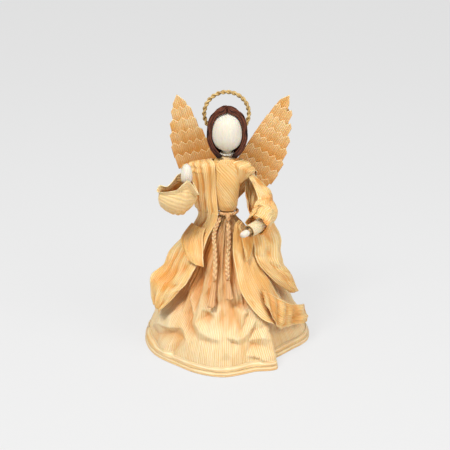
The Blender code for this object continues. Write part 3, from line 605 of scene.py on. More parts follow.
def skirt_dent(degrees, level):
    """How far the husk lies inside its ridges, in mm."""
    a = np.radians(degrees)
    in_front = smooth(-180, -168, degrees) * (1 - smooth(-54, -46, degrees))
    in_front = in_front * (1 - smooth(0.48, 0.6, level))
    uneven = 0.78 + 0.22 * np.sin(4 * a + 1.2)
    gathers = 3.0 * uneven * between(PLEAT_SHARE, level) * (1 - gather_wave(degrees))
    gathers = gathers * (1 - 0.75 * in_front)
    low = np.clip(np.sin(np.pi * np.clip((level - 0.02) / 0.86, 0, 1)), 0, 1)
    join = 1 - smooth(165, 179.5, np.abs(degrees))
    flat_x, flat_y = FLAT_R * a, FLAT_DOWN * level
    crushed = (3.0 - 1.7 * in_front) * (1 - crumpled(flat_x, flat_y, 10, 3)) * low * join
    crushed += 0.8 * in_front * (1 - crumpled(flat_x, flat_y, 5, 9)) * low
    pleats = 1.3 * zigzag(a * 11 + 1.2 * noise(a * 3, level * 3, 11)) * smooth(0.3, 0.55, level) * join
    dent = gathers + crushed + pleats * (1 - smooth(0.9, 1, level)) + 1.1 * fine_gathers(degrees, level)
    return np.maximum(dent + 1.2 * in_front * low - facet_height(degrees, level), -1.0)


# %% Skirt
def skirt_place(u, v):
    degrees = 360 * u - 180
    height = np.maximum(0.8 * MM, WAIST * v)
    level = height / WAIST
    radius = skirt_ridge(degrees, level) - skirt_dent(degrees, level) * MM
    radius = np.maximum(radius, WAIST_R - 0.3 * MM * smooth(0.95, 0.99, level))
    a = np.radians(degrees)
    return np.stack([radius * np.cos(a), radius * np.sin(a), height], axis=-1)


# The edge of the stole, as levels and angles. The stole's shade is painted on the skirt beside it.
BESIDE_STOLE = [(0.30, -150), (0.345, -147), (0.475, -140), (0.55, -134), (0.69, -128.5), (0.84, -131)]


def skirt_deep(u, v):
    """Painted shade in the folds, creases and beside the stole, deeper orange higher up towards the tie,
    and painted highlights along the ridges.
    """
    degrees = 360 * u - 180
    beside = 0.55 * (1 - smooth(2, 17, degrees - between(BESIDE_STOLE, v))) * smooth(0.27, 0.36, v)
    beside = beside * (1 - smooth(0.8, 0.9, v)) * smooth(-178, -168, degrees)
    folds = 0.6 * smooth(1.6, 4.8, skirt_dent(degrees, v)) * (1 - 0.4 * smooth(0.5, 0.8, v))
    creased = 0.45 * smooth(1.3, 3.8, -facet_height(degrees, v))
    ridge = 0.7 * smooth(1.6, 3.4, facet_height(degrees, v))
    deepest = np.maximum(np.maximum(folds, creased), beside) + 0.34 * smooth(0.38, 0.8, v)
    return np.clip(deepest, 0, 0.9) - ridge


skirt = husk_sheet("gown_skirt", skirt_place, 430, 110, ["skirt"], GOWN,
                   grain=lambda u, v: np.stack([u * 300, v * 95], axis=-1), deep=skirt_deep,
                   closed=True, side=-1.0)
print("skirt", len(skirt.data.polygons), "faces")

# %% [markdown]
# ## Hem band
#
# A strip of husk is folded over the bottom edge and glued. It is doubled, so a line runs along its
# middle, and its grain runs round the hem and not down it. A curve with a bevel could carry the strip, but
# its section would stay the same all round. Here the section is carried round as a grid, so that it can
# wobble and hug the gathers above it.

# %% Hem band
# The section of the strip, as mm out and mm up, in order round it.
HEM_SECTION = [(-2.0, 0.0), (0.8, 0.0), (1.0, 0.4), (0.95, 2.5), (0.74, 2.8), (0.9, 3.0), (0.75, 5.2),
               (0.35, 5.6), (0.0, 5.3), (0.3, 0.5), (-2.0, 0.5)]


def hem_place(u, v):
    degrees = 360 * v - 180
    corners = HEM_SECTION + [HEM_SECTION[0]]
    out = np.interp(u * len(HEM_SECTION), range(len(corners)), [c[0] for c in corners])
    height = np.interp(u * len(HEM_SECTION), range(len(corners)), [c[1] for c in corners])
    wobble = 0.2 * noise(v * 60, height * 0.8, 21) + 0.14 * noise(v * 160, height, 22)
    high = height * (1 + 0.06 * noise(v * 24, 0 * v, 23)) * MM
    hug = np.clip(skirt_dent(degrees, 0.067), 0, 2.5) * smooth(2.6, 5.4, height)
    radius = skirt_ridge(degrees, high / WAIST) + (out - hug + wobble * (height > 0.45) * (out > 0.3)) * MM
    a = np.radians(degrees)
    return np.stack([radius * np.cos(a), radius * np.sin(a), high], axis=-1)


def hem_deep(u, v):
    """Painted shade in the groove of the doubled strip and at its foot, and a painted highlight along its
    top edge.
    """
    place = u * len(HEM_SECTION)
    groove = np.clip(1 - np.abs(place - 4) / 0.5, 0, 1) * 0.3
    edge = np.clip(1 - np.abs(place - 6.6) / 0.8, 0, 1) * 0.6
    foot = np.clip(1 - np.abs(place - 1.6) / 0.9, 0, 1) * 0.3
    return groove + foot - edge


solid_tube("gown_hem", hem_place, 44, 480, ["hem_band"], GOWN, ring=True,
           grain=lambda u, v: np.stack([u * 17, v * 320], axis=-1), deep=hem_deep)
print("hem band")

# %% [markdown]
# ## Bodice
#
# The core of rolled husk is wrapped all round, and a second panel crosses the front on the slant, so its
# ribs run down to the figure's left. The panel could be a flat sheet bent to shape. It is simpler to place
# it straight on the round torso and to turn only its grain. The core and the arms inside the sleeves can
# hardly be seen, so their solids stay and only get the core's finish.

# %% Bodice
def on_torso(share, level, lift):
    """Points evenly spread round the oval torso."""
    halves = torso_halves(level)
    a = 2 * np.pi * share
    degrees = np.degrees(np.arctan2(halves[..., 1] * np.sin(a), halves[..., 0] * np.cos(a)))
    return around(degrees, level, lift)


def wrap_place(u, v):
    level = 1.012 + (1.945 - 1.012) * v
    folds = 0.10 * np.sin(44 * np.pi * u) * smooth(1.8, 1.93, level)
    return on_torso(u, level, 0.55 + folds + 0.1 * noise(u * 12, v * 4, 31))


# The depth mark paints shade in a band round the torso's front right, at and past the front panel's right
# edge.
husk_sheet("bodice_under", wrap_place, 110, 60, ["bodice_wrap"], MANTLE, closed=True,
           grain=lambda u, v: np.stack([u * 40, v * 36], axis=-1), thickness=0.4 * MM,
           deep=lambda u, v: 0.85 * np.clip(1.6 - np.abs((u + 0.5) % 1 - 0.45) / 0.09, 0, 1))


def front_place(u, v):
    level = 1.012 + (1.88 - 1.012) * v
    ribs = 0.16 * zigzag(u * 10 + v * 11) + 0.22 * np.abs(noise(u * 7 + v * 6, v * 2, 32))
    fuller = 0.8 * smooth(1.0, 1.12, level) * (1 - smooth(1.5, 1.8, level))
    return on_torso((8 + 5 * u) / 14, level, 1.35 + ribs + fuller)


# The depth mark paints shadow along the panel's left edge, beside the stole, and darker orange lines along
# its diagonal ribs.
husk_sheet("bodice_front_panel", front_place, 130, 110, ["bodice_front"], MANTLE,
           grain=lambda u, v: np.stack([u * 12 + v * 15, v * 24 - u * 9], axis=-1),
           deep=lambda u, v: 0.25 * (1 - smooth(0.0, 0.1, u)) + 0.35 * zigzag(u * 10 + v * 11) ** 3)

for name in ("torso_core", "arm_left", "arm_right"):
    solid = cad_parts[name]
    solid.data.materials.clear()
    solid.data.materials.append(CORE)
print("bodice")

# %% [markdown]
# ## Waist tie and its plaited tails
#
# The tie is three strands of split husk twisted together. In front it is knotted, and the two ends hang
# down as tight plaits that finish in a flared tuft. A plait is three strands that swing from side to side
# a third of a turn apart and pass over each other in turn. A bump in the finish could stand for that, but
# the edge of a plait is uneven against the skirt, so the strands are real.

# %% Twisted rings
def add_strand(bm, strand, ring):
    """Closes a strand and adds it to the bmesh that holds all of them."""
    close_tube(strand, ring)
    mesh = bpy.data.meshes.new("strand")
    strand.to_mesh(mesh)
    strand.free()
    bm.from_mesh(mesh)
    bpy.data.meshes.remove(mesh)


# turns is how often the strands wind round each other, and upright stands the ring on its edge.
def rope(name, centre, ring_radius, strand_radius, offset, strands, turns, upright, nodes, finish,
         round_count, steps):
    """Strands twisted together and bent into a ring, as one mesh."""
    bm = bmesh.new()
    for k in range(strands):
        def place(u, v, k=k):
            a = 2 * np.pi * v
            swing = turns * a + 2 * np.pi * k / strands
            b = 2 * np.pi * u
            fuzz = 1 + 0.07 * noise(v * 260, u * 6 + 9 * k, 40 + k)
            out = ring_radius + offset * np.cos(swing) + strand_radius * fuzz * np.cos(b)
            over = offset * np.sin(swing) + strand_radius * fuzz * np.sin(b)
            if upright:
                return np.stack([out * np.cos(a), over, out * np.sin(a)], axis=-1) + centre
            return np.stack([out * np.cos(a), out * np.sin(a), over], axis=-1) + centre
        # The depth mark paints shade along a line that winds with the twist on each strand.
        strand = woven_grid(place, round_count, steps,
                            lambda u, v: np.stack([u * 4 + v * 30, v * ring_radius * 6283], axis=-1),
                            lambda u, v: 0.5 * zigzag(u + 0.25 + turns * v) ** 4)
        add_strand(bm, strand, ring=True)
    return put(name, bm, nodes, finish)


# %% Tie and knot
TIE_HALF = 0.95 * MM
TIE_RING = WAIST_R + 0.6 * MM + TIE_HALF
TIE_HIGH = WAIST - 0.3 * MM - TIE_HALF
rope("belt", np.array([0, 0, TIE_HIGH]), TIE_RING, 0.58 * MM, 0.46 * MM, 3, 5, False,
     ["waist_tie"], TIE, 10, 200)


def knot_place(u, v):
    front_y = -(TIE_RING + TIE_HALF + 0.3 * MM + 1.15 * TIE_HALF)
    outline = [(0.0, 0.5, 0.4), (0.2, 1.25, 1.05), (0.6, 1.4, 1.15), (1.0, 0.75, 0.65)]
    sizes = between(outline, v) * TIE_HALF
    lump = 1 + 0.10 * np.sin(2 * np.pi * (3 * u + 2.2 * v)) + 0.05 * noise(u * 9, v * 7, 44)
    high = TIE_HIGH + (1.7 - 5.5 * v) * TIE_HALF
    a = 2 * np.pi * u
    x = 0.6 * MM + sizes[:, 0] * lump * np.cos(a)
    y = front_y + sizes[:, 1] * lump * np.sin(a)
    return np.stack([x, y, high], axis=-1)


solid_tube("belt_knot", knot_place, 40, 30, ["tie_knot"], TIE,
           grain=lambda u, v: np.stack([u * 8, v * 6], axis=-1))
print("tie and knot")

# %% Routes of the plaited tails
# Each point is an angle, a level and how far it stands off the gown in mm.
TAIL_RIGHT = [(-86, 0.938, 2.5), (-86, 0.87, 2.9), (-87, 0.80, 2.4), (-89.4, 0.724, 2.3),
              (-89.5, 0.66, 2.1), (-88.9, 0.60, 1.9)]
TAIL_LEFT = [(-122, 0.966, 2.3), (-124, 0.90, 2.9), (-119, 0.84, 2.4), (-111, 0.77, 2.1),
             (-106.5, 0.689, 2.1), (-104.5, 0.59, 1.9)]
TUFT_RIGHT = [(-88.8, 0.596, 1.9), (-88.4, 0.54, 1.9), (-88, 0.487, 1.9)]
TUFT_LEFT = [(-104.4, 0.586, 1.9), (-104.4, 0.51, 1.9), (-104.5, 0.435, 1.9)]


def on_gown(route):
    return [tuple(around(*point)) for point in route]


# %% Plaits and tufts
def plait(name, route, crossings, nodes):
    """Three flat strands plaited along a route, as one mesh."""
    places = on_gown(route)
    path = lambda t: along(places, t)
    bm = bmesh.new()
    for k in range(3):
        def place(u, v, k=k):
            centre, side, up = frames(path, v, (0, 1, 0))
            swing = np.pi * crossings * v + 2 * np.pi * k / 3
            middle = centre + side * (0.68 * MM * np.sin(swing))[:, None]
            middle = middle + up * (0.42 * MM * np.sin(2 * swing))[:, None]
            end = np.minimum(1, 12 * np.minimum(v, 1 - v) + 0.35)
            return tube_points(middle, side, up, 0.68 * MM * end, 0.52 * MM * end, u)

        # Painted shade where a strand passes behind the others, and a slight painted highlight where it
        # lies on top.
        def behind(u, v, k=k):
            swing = np.pi * crossings * v + 2 * np.pi * k / 3
            return 0.6 * smooth(-0.3, 0.8, np.sin(2 * swing)) - 0.25
        strand = woven_grid(place, 10, 170, lambda u, v: np.stack([u * 4, v * 36], axis=-1), behind)
        add_strand(bm, strand, ring=False)
    return put(name, bm, nodes, TIE), path


def tuft(name, route, nodes):
    """A flared brush of split husk ends."""
    places = on_gown(route)
    path = lambda t: along(places, t)

    def place(u, v):
        centre, side, up = frames(path, v, (0, 1, 0))
        sizes = between([(0.0, 0.42, 0.38), (0.2, 0.62, 0.46), (1.0, 1.0, 0.42)], v) * 2.4 * MM
        split = 1 - 0.16 * v * np.abs(np.sin(2 * np.pi * 3.5 * u))
        point = tube_points(centre, side, up, sizes[:, 0] * split, sizes[:, 1] * split, u)
        point[:, 2] -= 0.8 * MM * noise(u * 14, 0 * u, 51) * smooth(0.8, 1, v)
        return point
    # The depth mark paints shade in the splits between the husk ends.
    return solid_tube(name, place, 48, 24, nodes, TIE,
                      grain=lambda u, v: np.stack([u * 12, v * 9], axis=-1),
                      deep=lambda u, v: 0.5 * np.abs(np.sin(2 * np.pi * 3.5 * u)) ** 6)


# %% The two tails
TAILS = (("left", TAIL_LEFT, TUFT_LEFT, 9), ("right", TAIL_RIGHT, TUFT_RIGHT, 8))
for side, route, tuft_route, crossings in TAILS:
    brush = tuft("tuft_" + side, tuft_route, ["tail_tuft_" + side])
    tail, path = plait("plait_" + side, route, crossings, ["tie_tail_" + side])
    line = path(np.linspace(0, 1, 60))

# %% [markdown]
# ## The fibre finish
#
# Thread, hair and straw cord are bundles of fine fibres, too many and too thin to model one by one. Seen
# close, they are long streaks from dark to light with clumps among them, so one shader group makes such
# streaks along the grain map, and each kind of fibre gets its own colours and its own number of strands.

# %% The fibre grain, one group for thread, hair and cord
def fibre_grain():
    """Strands from dark to light, with paler or darker clumps among them."""
    takes = [("Grain", "Vector"), ("Deep", "Float"), ("Dark", "Color"), ("Light", "Color"),
             ("Clump", "Color"), ("Shade", "Color"), ("Clump share", "Float")]
    gives = [("Colour", "Color"), ("Height", "Float")]
    tree, given, result = start_group("fibre grain", takes, gives)
    strands = noise_field(tree, given["Grain"], 1.0, 3, 0.6)
    clumps = noise_field(tree, stretched(tree, given["Grain"], (0.35, 0.6, 1)), 1.0, 2, 0.5)
    tone = mixed(tree, ranged(tree, strands, 0.42, 0.58), given["Dark"], given["Light"])
    clumped = maths(tree, "MULTIPLY", ranged(tree, clumps, 0.42, 0.72), given["Clump share"])
    tone = mixed(tree, clumped, tone, given["Clump"])
    tone = mixed(tree, maths(tree, "MULTIPLY", given["Deep"], 1.0, clamp=True), tone, given["Shade"])
    tree.links.new(tone, result["Colour"])
    tree.links.new(strands, result["Height"])
    return tree


FIBRE_GRAIN = fibre_grain()


# %% Fibre finishes
def fibre_finish(name, rough, specular, across, along_it, dark, light, clump, shade, share, deep_bump):
    """A finish of fine strands. across and along_it say how many streaks lie in a mm each way."""
    finish, tree, shader = start_finish(name, rough, specular)
    grain = node(tree, "ShaderNodeUVMap", uv_map="grain").outputs["UV"]
    values = {"Grain": stretched(tree, grain, (across, along_it, 1)),
              "Deep": node(tree, "ShaderNodeAttribute", attribute_name="deep").outputs["Fac"],
              "Dark": dark, "Light": light, "Clump": clump, "Shade": shade, "Clump share": share}
    fibre = placed_group(tree, FIBRE_GRAIN, values)
    tree.links.new(fibre["Colour"], shader.inputs["Base Color"])
    give_bump(tree, shader, fibre["Height"], 0.9, deep_bump * MM)
    return finish


THREAD = fibre_finish("thread", 0.8, 0.3, 3.0, 1.5, (0.70, 0.65, 0.55), (0.85, 0.82, 0.74),
                      (0.80, 0.76, 0.66), (0.45, 0.38, 0.28), 0.4, 0.05)
HAIR = fibre_finish("hair_fibre", 0.6, 0.2, 1.0, 0.12, (0.020, 0.006, 0.004), (0.19, 0.056, 0.028),
                    (0.22, 0.075, 0.036), (0.008, 0.004, 0.003), 0.4, 0.9)
HALO = fibre_finish("halo_cord", 0.6, 0.3, 2.6, 0.25, (0.46, 0.28, 0.08), (0.80, 0.58, 0.25),
                    (0.40, 0.22, 0.06), (0.22, 0.11, 0.03), 0.6, 0.2)
print("fibre finishes made")

# %% [markdown]
# ## Head and neck
#
# A ball is covered with a bleached husk that is gathered at the neck and tied. Its ribs run from the
# crown down to the neck, where they draw together into fine folds. It has no features. A stretched sphere
# would give the ball, but one outline that runs from the neck to the crown gives the gathered neck too.

# %% Head
HEAD_OUTLINE = [(0.0, 0.333), (0.05, 0.30), (0.10, 0.36), (0.19, 0.72), (0.34, 0.95), (0.54, 1.0),
                (0.74, 0.89), (0.89, 0.64), (0.97, 0.35), (1.0, 0.06)]


def head_place(u, v):
    share = 0.5 - 0.5 * np.cos(np.pi * v)
    a = 2 * np.pi * u
    folds = 1 - 0.10 * smooth(0.24, 0.06, share) * np.abs(np.sin(14 * a + np.sin(3 * a)))
    folds -= 0.012 * np.abs(np.sin(19 * a + 2 * np.sin(2 * a))) * smooth(0.7, 0.2, share)
    reach = HEAD_R * between(HEAD_OUTLINE, share) * folds
    return np.stack([reach * np.cos(a), reach * np.sin(a), NECK + HEAD_HIGH * share], axis=-1)


# The depth mark paints shade in the gathers at the neck.
solid_tube("husk_head", head_place, 168, 80, ["head"], PALE,
           grain=lambda u, v: np.stack([u * 56, v * 30], axis=-1),
           deep=lambda u, v: 0.5 * smooth(0.32, 0.2, v) * np.abs(np.sin(2 * np.pi * 14 * u)) ** 4)

rope("neck_tie_thread", np.array([0, 0, NECK + 0.3 * MM + 0.55 * MM]), 0.333 * HEAD_R + 0.85 * MM, 0.3 * MM,
     0.24 * MM, 2, 9, False, ["neck_thread"], THREAD, 6, 120)
print("head")

# %% [markdown]
# ## Hair
#
# Brown fibre is parted at the crown and wrapped close round the face like a hood, and its ends are tucked
# in at the neck. Thousands of hair curves could be grown there, but they would have no solid mesh to keep.
# So the locks are three solid forms with strand grooves, and finer strands come from the finish. Shade is
# painted on them towards the neck, where little light reaches them.

# %% The round form that the hair lies on
# Each point is the way down from the crown, the radius in head radii and the height in head heights.
HAIR_BELL = [(0.0, 0.0, 1.022), (0.03, 0.2, 1.018), (0.12, 0.52, 0.983), (0.25, 0.835, 0.872),
             (0.38, 1.01, 0.703), (0.5, 1.045, 0.52), (0.62, 1.03, 0.353), (0.74, 0.90, 0.20),
             (0.86, 0.70, 0.085), (1.0, 0.53, 0.012)]
# Each point is the way down and the angles at which the lock starts and ends.
TRESS_SPAN = [(0.0, -90, -12), (0.12, -86, -2), (0.17, -57, 0), (0.25, -35, 2), (0.38, -24, 5),
              (0.5, -20, 7), (0.62, -21, 8), (0.74, -33, 4), (0.86, -48, -4), (1.0, -58, -14)]
HAIR_THICK = 2.1 * MM


def hair_point(degrees, place, lift):
    here = between(HAIR_BELL, place)
    higher = between(HAIR_BELL, np.maximum(place - 0.01, 0))
    lower = between(HAIR_BELL, np.minimum(place + 0.01, 1))
    fall, spread = (higher[:, 1] - lower[:, 1]) * HEAD_HIGH, (lower[:, 0] - higher[:, 0]) * HEAD_R
    size = np.hypot(fall, spread)
    out = here[:, 0] * HEAD_R + fall / size * lift
    over = here[:, 1] * HEAD_HIGH + spread / size * lift
    a = np.radians(degrees)
    return np.stack([out * np.cos(a), out * np.sin(a), NECK + over], axis=-1)


# %% Locks of hair
def lock(name, span, nodes, grooves, pick, dark_from):
    """A solid lock: the first half of u runs over its outside, and the second half back beneath it."""
    def across(u):
        return np.where(u <= 0.5, 2 * u, 2 - 2 * u)

    def place(u, v):
        down = span[0][0] + (span[-1][0] - span[0][0]) * v
        edges = between(span, down)
        share = across(u)
        crown = np.clip(np.sin(np.pi * share), 0, 1) ** 0.6
        strand = 0.20 * np.sin(2 * np.pi * grooves * share + 3 * noise(share * 3, v * 3, pick))
        strand += 0.16 * noise(share * 22 + 2 * v, v * 5, pick + 1)
        thick = HAIR_THICK * (0.62 + 0.38 * smooth(0.02, 0.3, down))
        lift = np.where((u > 0) & (u < 0.5), thick * crown * (1 + strand * crown), 0)
        return hair_point(edges[:, 0] + (edges[:, 1] - edges[:, 0]) * share, down, lift)

    # Painted shade on the lock towards the neck.
    def deep(u, v):
        return 0.9 * smooth(dark_from, dark_from + 0.2, v) * (1 - smooth(0.15, 0.5, u))
    return solid_tube(name, place, 120, 60, nodes, HAIR,
                      grain=lambda u, v: np.stack([across(u) * 9, v * 40], axis=-1), deep=deep)


mirrored_span = [(down, 180 - first, 180 - last) for down, first, last in TRESS_SPAN]
behind_span = [(down, last + 2.4, 177.6 - last) for down, first, last in TRESS_SPAN]
lock("tress_right", TRESS_SPAN, ["hair_right"], 5, 61, 0.74)
lock("tress_left", mirrored_span, ["hair_left"], 5, 64, 0.74)
lock("hair_behind", behind_span, ["hair_back"], 16, 67, 0.6)
print("hair")

# %% [markdown]
# ## Halo
#
# Two plies of straw cord are twisted and bent into a ring, which stands on edge behind the head. A plain
# ring with a twisted bump would look smooth against the light, so it is made as the waist tie is, from two
# strands wound round each other.

# %% Halo
halo_deep = 1.045 * HEAD_R + HAIR_THICK + (1.15 - 0.6) * MM
halo_centre = np.array([-0.3 * MM, halo_deep, NECK + 21.2 * MM])
rope("halo_ring", halo_centre, 13.1 * MM, 0.72 * MM, 0.60 * MM, 2, 13, True, ["halo"], HALO,
     10, 620)
print("halo")

# %% [markdown]
# ## Drapes
#
# The stole hangs over the figure's right shoulder, is pinched in by the tie and spreads out below it.
# On the other side a mantle covers the shoulder, and two long panels, a flap and a frill fall over the
# skirt. Each is a ribbon of husk, so it is placed by its two long edges, which can be followed with the eye
# in a picture, and its folds run down between them. A flat sheet that is bent and twisted to hang like
# that takes far more tries.

# %% Tables of the drapes: stole and mantle
# Each row is the way down the drape, then an angle, a level and mm off the gown for its two edges.
STOLE_LEFT = [
    (0.00, -262, 1.04, 1.6, -232, 1.04, 2.0), (0.07, -258, 1.25, 1.6, -214, 1.22, 7.0),
    (0.14, -250, 1.50, 1.6, -200, 1.45, 12.0), (0.21, -232, 1.75, 1.6, -190, 1.68, 12.0),
    (0.27, -204, 1.89, 1.7, -182, 1.84, 10.5), (0.33, -157, 1.915, 2.2, -177, 1.82, 11.0),
    (0.40, -140, 1.79, 2.2, -175, 1.66, 12.5), (0.50, -144, 1.40, 2.2, -175.5, 1.34, 14.5),
    (0.59, -130, 1.05, 3.6, -180, 1.08, 14.5), (0.64, -125, 0.955, 3.8, -190, 0.955, 11.5),
    (0.70, -131, 0.84, 2.6, -194, 0.84, 6.5), (0.77, -128.5, 0.69, 2.6, -190, 0.71, 7.5),
    (0.84, -134, 0.55, 3.0, -172, 0.61, 10.0), (0.91, -140, 0.475, 3.4, -163, 0.545, 16.0),
    (0.96, -143.4, 0.405, 4.6, -160, 0.45, 12.5), (1.00, -147, 0.345, 7.0, -155, 0.37, 8.6),
]
STOLE_FOLD = [
    (0.0, -141, 0.90, 5.6, -176, 0.90, 11.6), (0.3, -133, 0.82, 5.2, -174, 0.81, 11.0),
    (0.6, -124, 0.74, 4.8, -158, 0.765, 10.0), (1.0, -119, 0.675, 4.6, -137, 0.71, 8.6),
]
MANTLE_RIGHT = [
    (0.0, 80, 1.04, 1.6, 50, 1.04, 2.0), (0.2, 78, 1.25, 1.6, 34, 1.22, 7.0),
    (0.4, 70, 1.5, 1.6, 20, 1.42, 12.0), (0.6, 52, 1.75, 2.0, 12, 1.64, 10.5),
    (0.75, 22, 1.89, 2.0, 8, 1.67, 8.6), (0.87, -50, 1.90, 1.0, 1, 1.65, 7.8),
    (0.94, -44, 1.72, 1.0, -6, 1.615, 6.6), (1.0, -38, 1.44, 1.0, -16, 1.56, 4.2),
]

# %% Tables of the drapes: panels, flap and frill
PANEL_INNER = [
    (0.0, -70, 1.00, 13.5, -64, 0.985, 14.5), (0.10, -77, 0.95, 12.5, -67, 0.94, 13.5),
    (0.20, -80, 0.885, 9.5, -52, 0.862, 9.5), (0.33, -81.5, 0.784, 5.0, -48, 0.76, 5.5),
    (0.48, -79.2, 0.67, 3.0, -45, 0.65, 3.4), (0.64, -76.9, 0.545, 2.0, -38, 0.53, 2.4),
    (0.76, -70.4, 0.449, 1.4, -33, 0.43, 1.6), (0.88, -61.2, 0.349, 1.6, -28, 0.34, 1.2),
    (0.95, -52.3, 0.30, 3.5, -24, 0.27, 1.2), (1.0, -43.1, 0.225, 2.0, -21, 0.215, 1.2),
]
PANEL_OUTER = [
    (0.0, -54, 0.912, 14.5, -15, 0.955, 22.0), (0.15, -53, 0.85, 12.0, -18, 0.83, 18.0),
    (0.4, -53, 0.76, 7.8, -21, 0.68, 11.0), (0.6, -50.6, 0.685, 6.2, -17, 0.59, 8.5),
    (0.75, -39, 0.568, 5.5, -13, 0.535, 8.5), (0.88, -30, 0.492, 5.0, -12.5, 0.47, 7.0),
    (1.0, -20, 0.42, 5.0, -12, 0.41, 6.5),
]
PANEL_FLAP = [
    (0.0, -69, 0.907, 13.2, -50, 0.907, 15.6), (0.5, -67.5, 0.79, 9.4, -57, 0.79, 10.0),
    (1.0, -66.5, 0.725, 7.6, -65, 0.725, 7.6),
]
FRILL = [
    (0.0, -56, 0.53, 5.3, -57, 0.45, 5.3), (0.25, -47, 0.49, 5.2, -52, 0.33, 5.0),
    (0.5, -36, 0.42, 4.4, -43, 0.23, 4.8), (0.75, -22, 0.34, 3.8, -28, 0.20, 3.6),
    (1.0, -4, 0.27, 4.0, -10, 0.16, 3.4),
]


# %% One way to drape them
# tone is the strength of random patches of painted shade.
def draped(stations, size, folds=0, fold_depth=((0, 0), (1, 0)), ripples=0, ripple_depth=0.0,
           crush=((0, 0), (1, 0)), facet=7, pick=70, tone=0.0):
    """Places a panel between its two edges, with folds down it, ripples across it and creases."""
    def lift_of(u, v):
        wander = u + 0.05 * noise(v * 5, u * 2, pick + 2)
        wave = 0.5 - 0.5 * np.cos(2 * np.pi * folds * wander)
        fold = 0.45 * wave + 0.55 * (1 - zigzag(folds * wander)) if folds else 0 * u
        extra = between(fold_depth, v) * fold
        extra = extra + ripple_depth * (0.5 - 0.5 * np.cos(2 * np.pi * ripples * v)) * np.minimum(1, 4 * u)
        return extra + between(crush, v) * crumpled(u * size[0], v * size[1], facet, pick)

    def place(u, v):
        edges = between(stations, v)
        lift = edges[:, 2] + (edges[:, 5] - edges[:, 2]) * u + lift_of(u, v)
        degrees = edges[:, 0] + (edges[:, 3] - edges[:, 0]) * u
        return around(degrees, edges[:, 1] + (edges[:, 4] - edges[:, 1]) * u, lift)

    # Painted shade in the fold hollows and in random patches as strong as tone, painted highlights on the
    # ridges, and paler along the edges.
    def deep(u, v):
        lift = lift_of(u, v)
        top = between(fold_depth, v) + ripple_depth + between(crush, v) + 0.3
        edge = np.minimum(np.minimum(u, 1 - u) * size[0], 9)
        patch = tone * smooth(-0.2, 0.5, noise(u * size[0] / 9, v * size[1] / 9, pick + 5))
        folds_in = 0.75 * smooth(0.42, 0.05, lift / top) * smooth(0, 1.5, edge)
        ridge = 0.55 * smooth(0.62, 0.9, lift / top)
        return np.maximum(folds_in, patch) - np.maximum(ridge, 0.5 * (1 - smooth(0, 0.9, edge)))
    return place, deep


def drape(name, stations, across, down, node_name, flat, held, rests, area=None, **how):
    width, length = flat[0] / MM, flat[1] / MM
    place, deep = draped(stations, (width, length), **how)
    piece = husk_sheet(name, place, across, down, [node_name], MANTLE,
                       grain=lambda u, v: np.stack([u * width, v * length], axis=-1), deep=deep)
    print(name)


def even(depth):
    """The same depth all the way down."""
    return ((0, depth), (1, depth))


# %% Stole and mantle
# How deep the folds and the crushing are, in mm, on the way down each drape.
STOLE_FOLDS = [(0.0, 0.3), (0.25, 0.5), (0.4, 1.0), (0.6, 1.1), (0.67, 0.7), (0.78, 0.6), (0.9, 0.5),
               (1.0, 0.4)]
STOLE_CRUSH = [(0, 0.6), (0.55, 1.0), (0.68, 2.2), (0.8, 4.4), (1, 3.2)]
MANTLE_FOLDS = [(0, 1.1), (0.6, 1.1), (0.8, 0.3), (1, 0.0)]
drape("stole", STOLE_LEFT, 90, 260, "stole_left", (0.022, 0.130), "draped", ["bodice_wrap", "skirt"],
      folds=4, fold_depth=STOLE_FOLDS, crush=STOLE_CRUSH, facet=9, pick=70)
drape("stole_fold", STOLE_FOLD, 60, 70, "stole_fold_left", (0.017, 0.022), "folded", ["stole_left"],
      folds=1, fold_depth=even(0.9), crush=even(2.0), facet=9, pick=80, tone=0.3)
drape("mantle", MANTLE_RIGHT, 80, 110, "mantle_right", (0.014, 0.045), "draped", ["bodice_wrap"],
      folds=2, fold_depth=MANTLE_FOLDS, crush=even(0.35), facet=6, pick=90)

# %% Panels, flap and frill
drape("panel_inner", PANEL_INNER, 70, 170, "panel_inner_right", (0.018, 0.072), "draped", ["skirt"],
      folds=2, fold_depth=even(0.6), crush=even(1.9), facet=8, pick=100, tone=0.35)
drape("panel_outer", PANEL_OUTER, 70, 120, "panel_outer_right", (0.015, 0.050), "draped", ["skirt"],
      folds=2, fold_depth=even(1.4), crush=even(1.8), facet=8, pick=110, tone=0.3)
drape("panel_flap", PANEL_FLAP, 24, 50, "panel_flap_right", (0.010, 0.016), "folded", ["cuff_right"],
      area=0.00009, crush=even(0.5), facet=5, pick=120)
drape("frill", FRILL, 50, 190, "frill_right", (0.014, 0.046), "gathered", ["panel_inner_right"],
      ripples=5, ripple_depth=1.2, crush=((0, 0.5), (0.25, 2.0), (1, 2.0)), facet=8, pick=130, tone=0.6)

# %% [markdown]
# ## Sleeves, cuff and hands
#
# Each sleeve is one husk rolled into a tube. The lowered arm's sleeve is crushed at the elbow and open
# along its front above it. The raised arm's sleeve opens in a wide bell. The hands are twists of bleached
# husk. Rings joined by faces could make the tubes, but here too each is a grid carried along the arm, so
# that its grain and its creases are known at every point.

# %% Tables of the sleeves and arms
# The middle of the lowered sleeve (x and y in mm, and a level), how far it reaches outwards, inwards and
# square to both, and the angles where its husk starts and ends.
SLEEVE_RIGHT = [
    (13.2, -0.3, 1.62, 2.2, 2.6, 2.6, -98, 168), (15.8, -1.0, 1.49, 3.9, 5.4, 4.4, -95, 175),
    (18.0, -1.8, 1.323, 7.4, 6.6, 6.0, -93, 180), (19.8, -4.5, 1.147, 8.4, 8.0, 7.0, -98, 188),
    (21.2, -10.2, 1.03, 8.4, 7.8, 7.6, -130, 194), (20.0, -15.6, 0.995, 7.0, 7.0, 7.6, -160, 190),
    (17.0, -20.2, 0.975, 6.4, 6.4, 7.4, -164, 188),
]
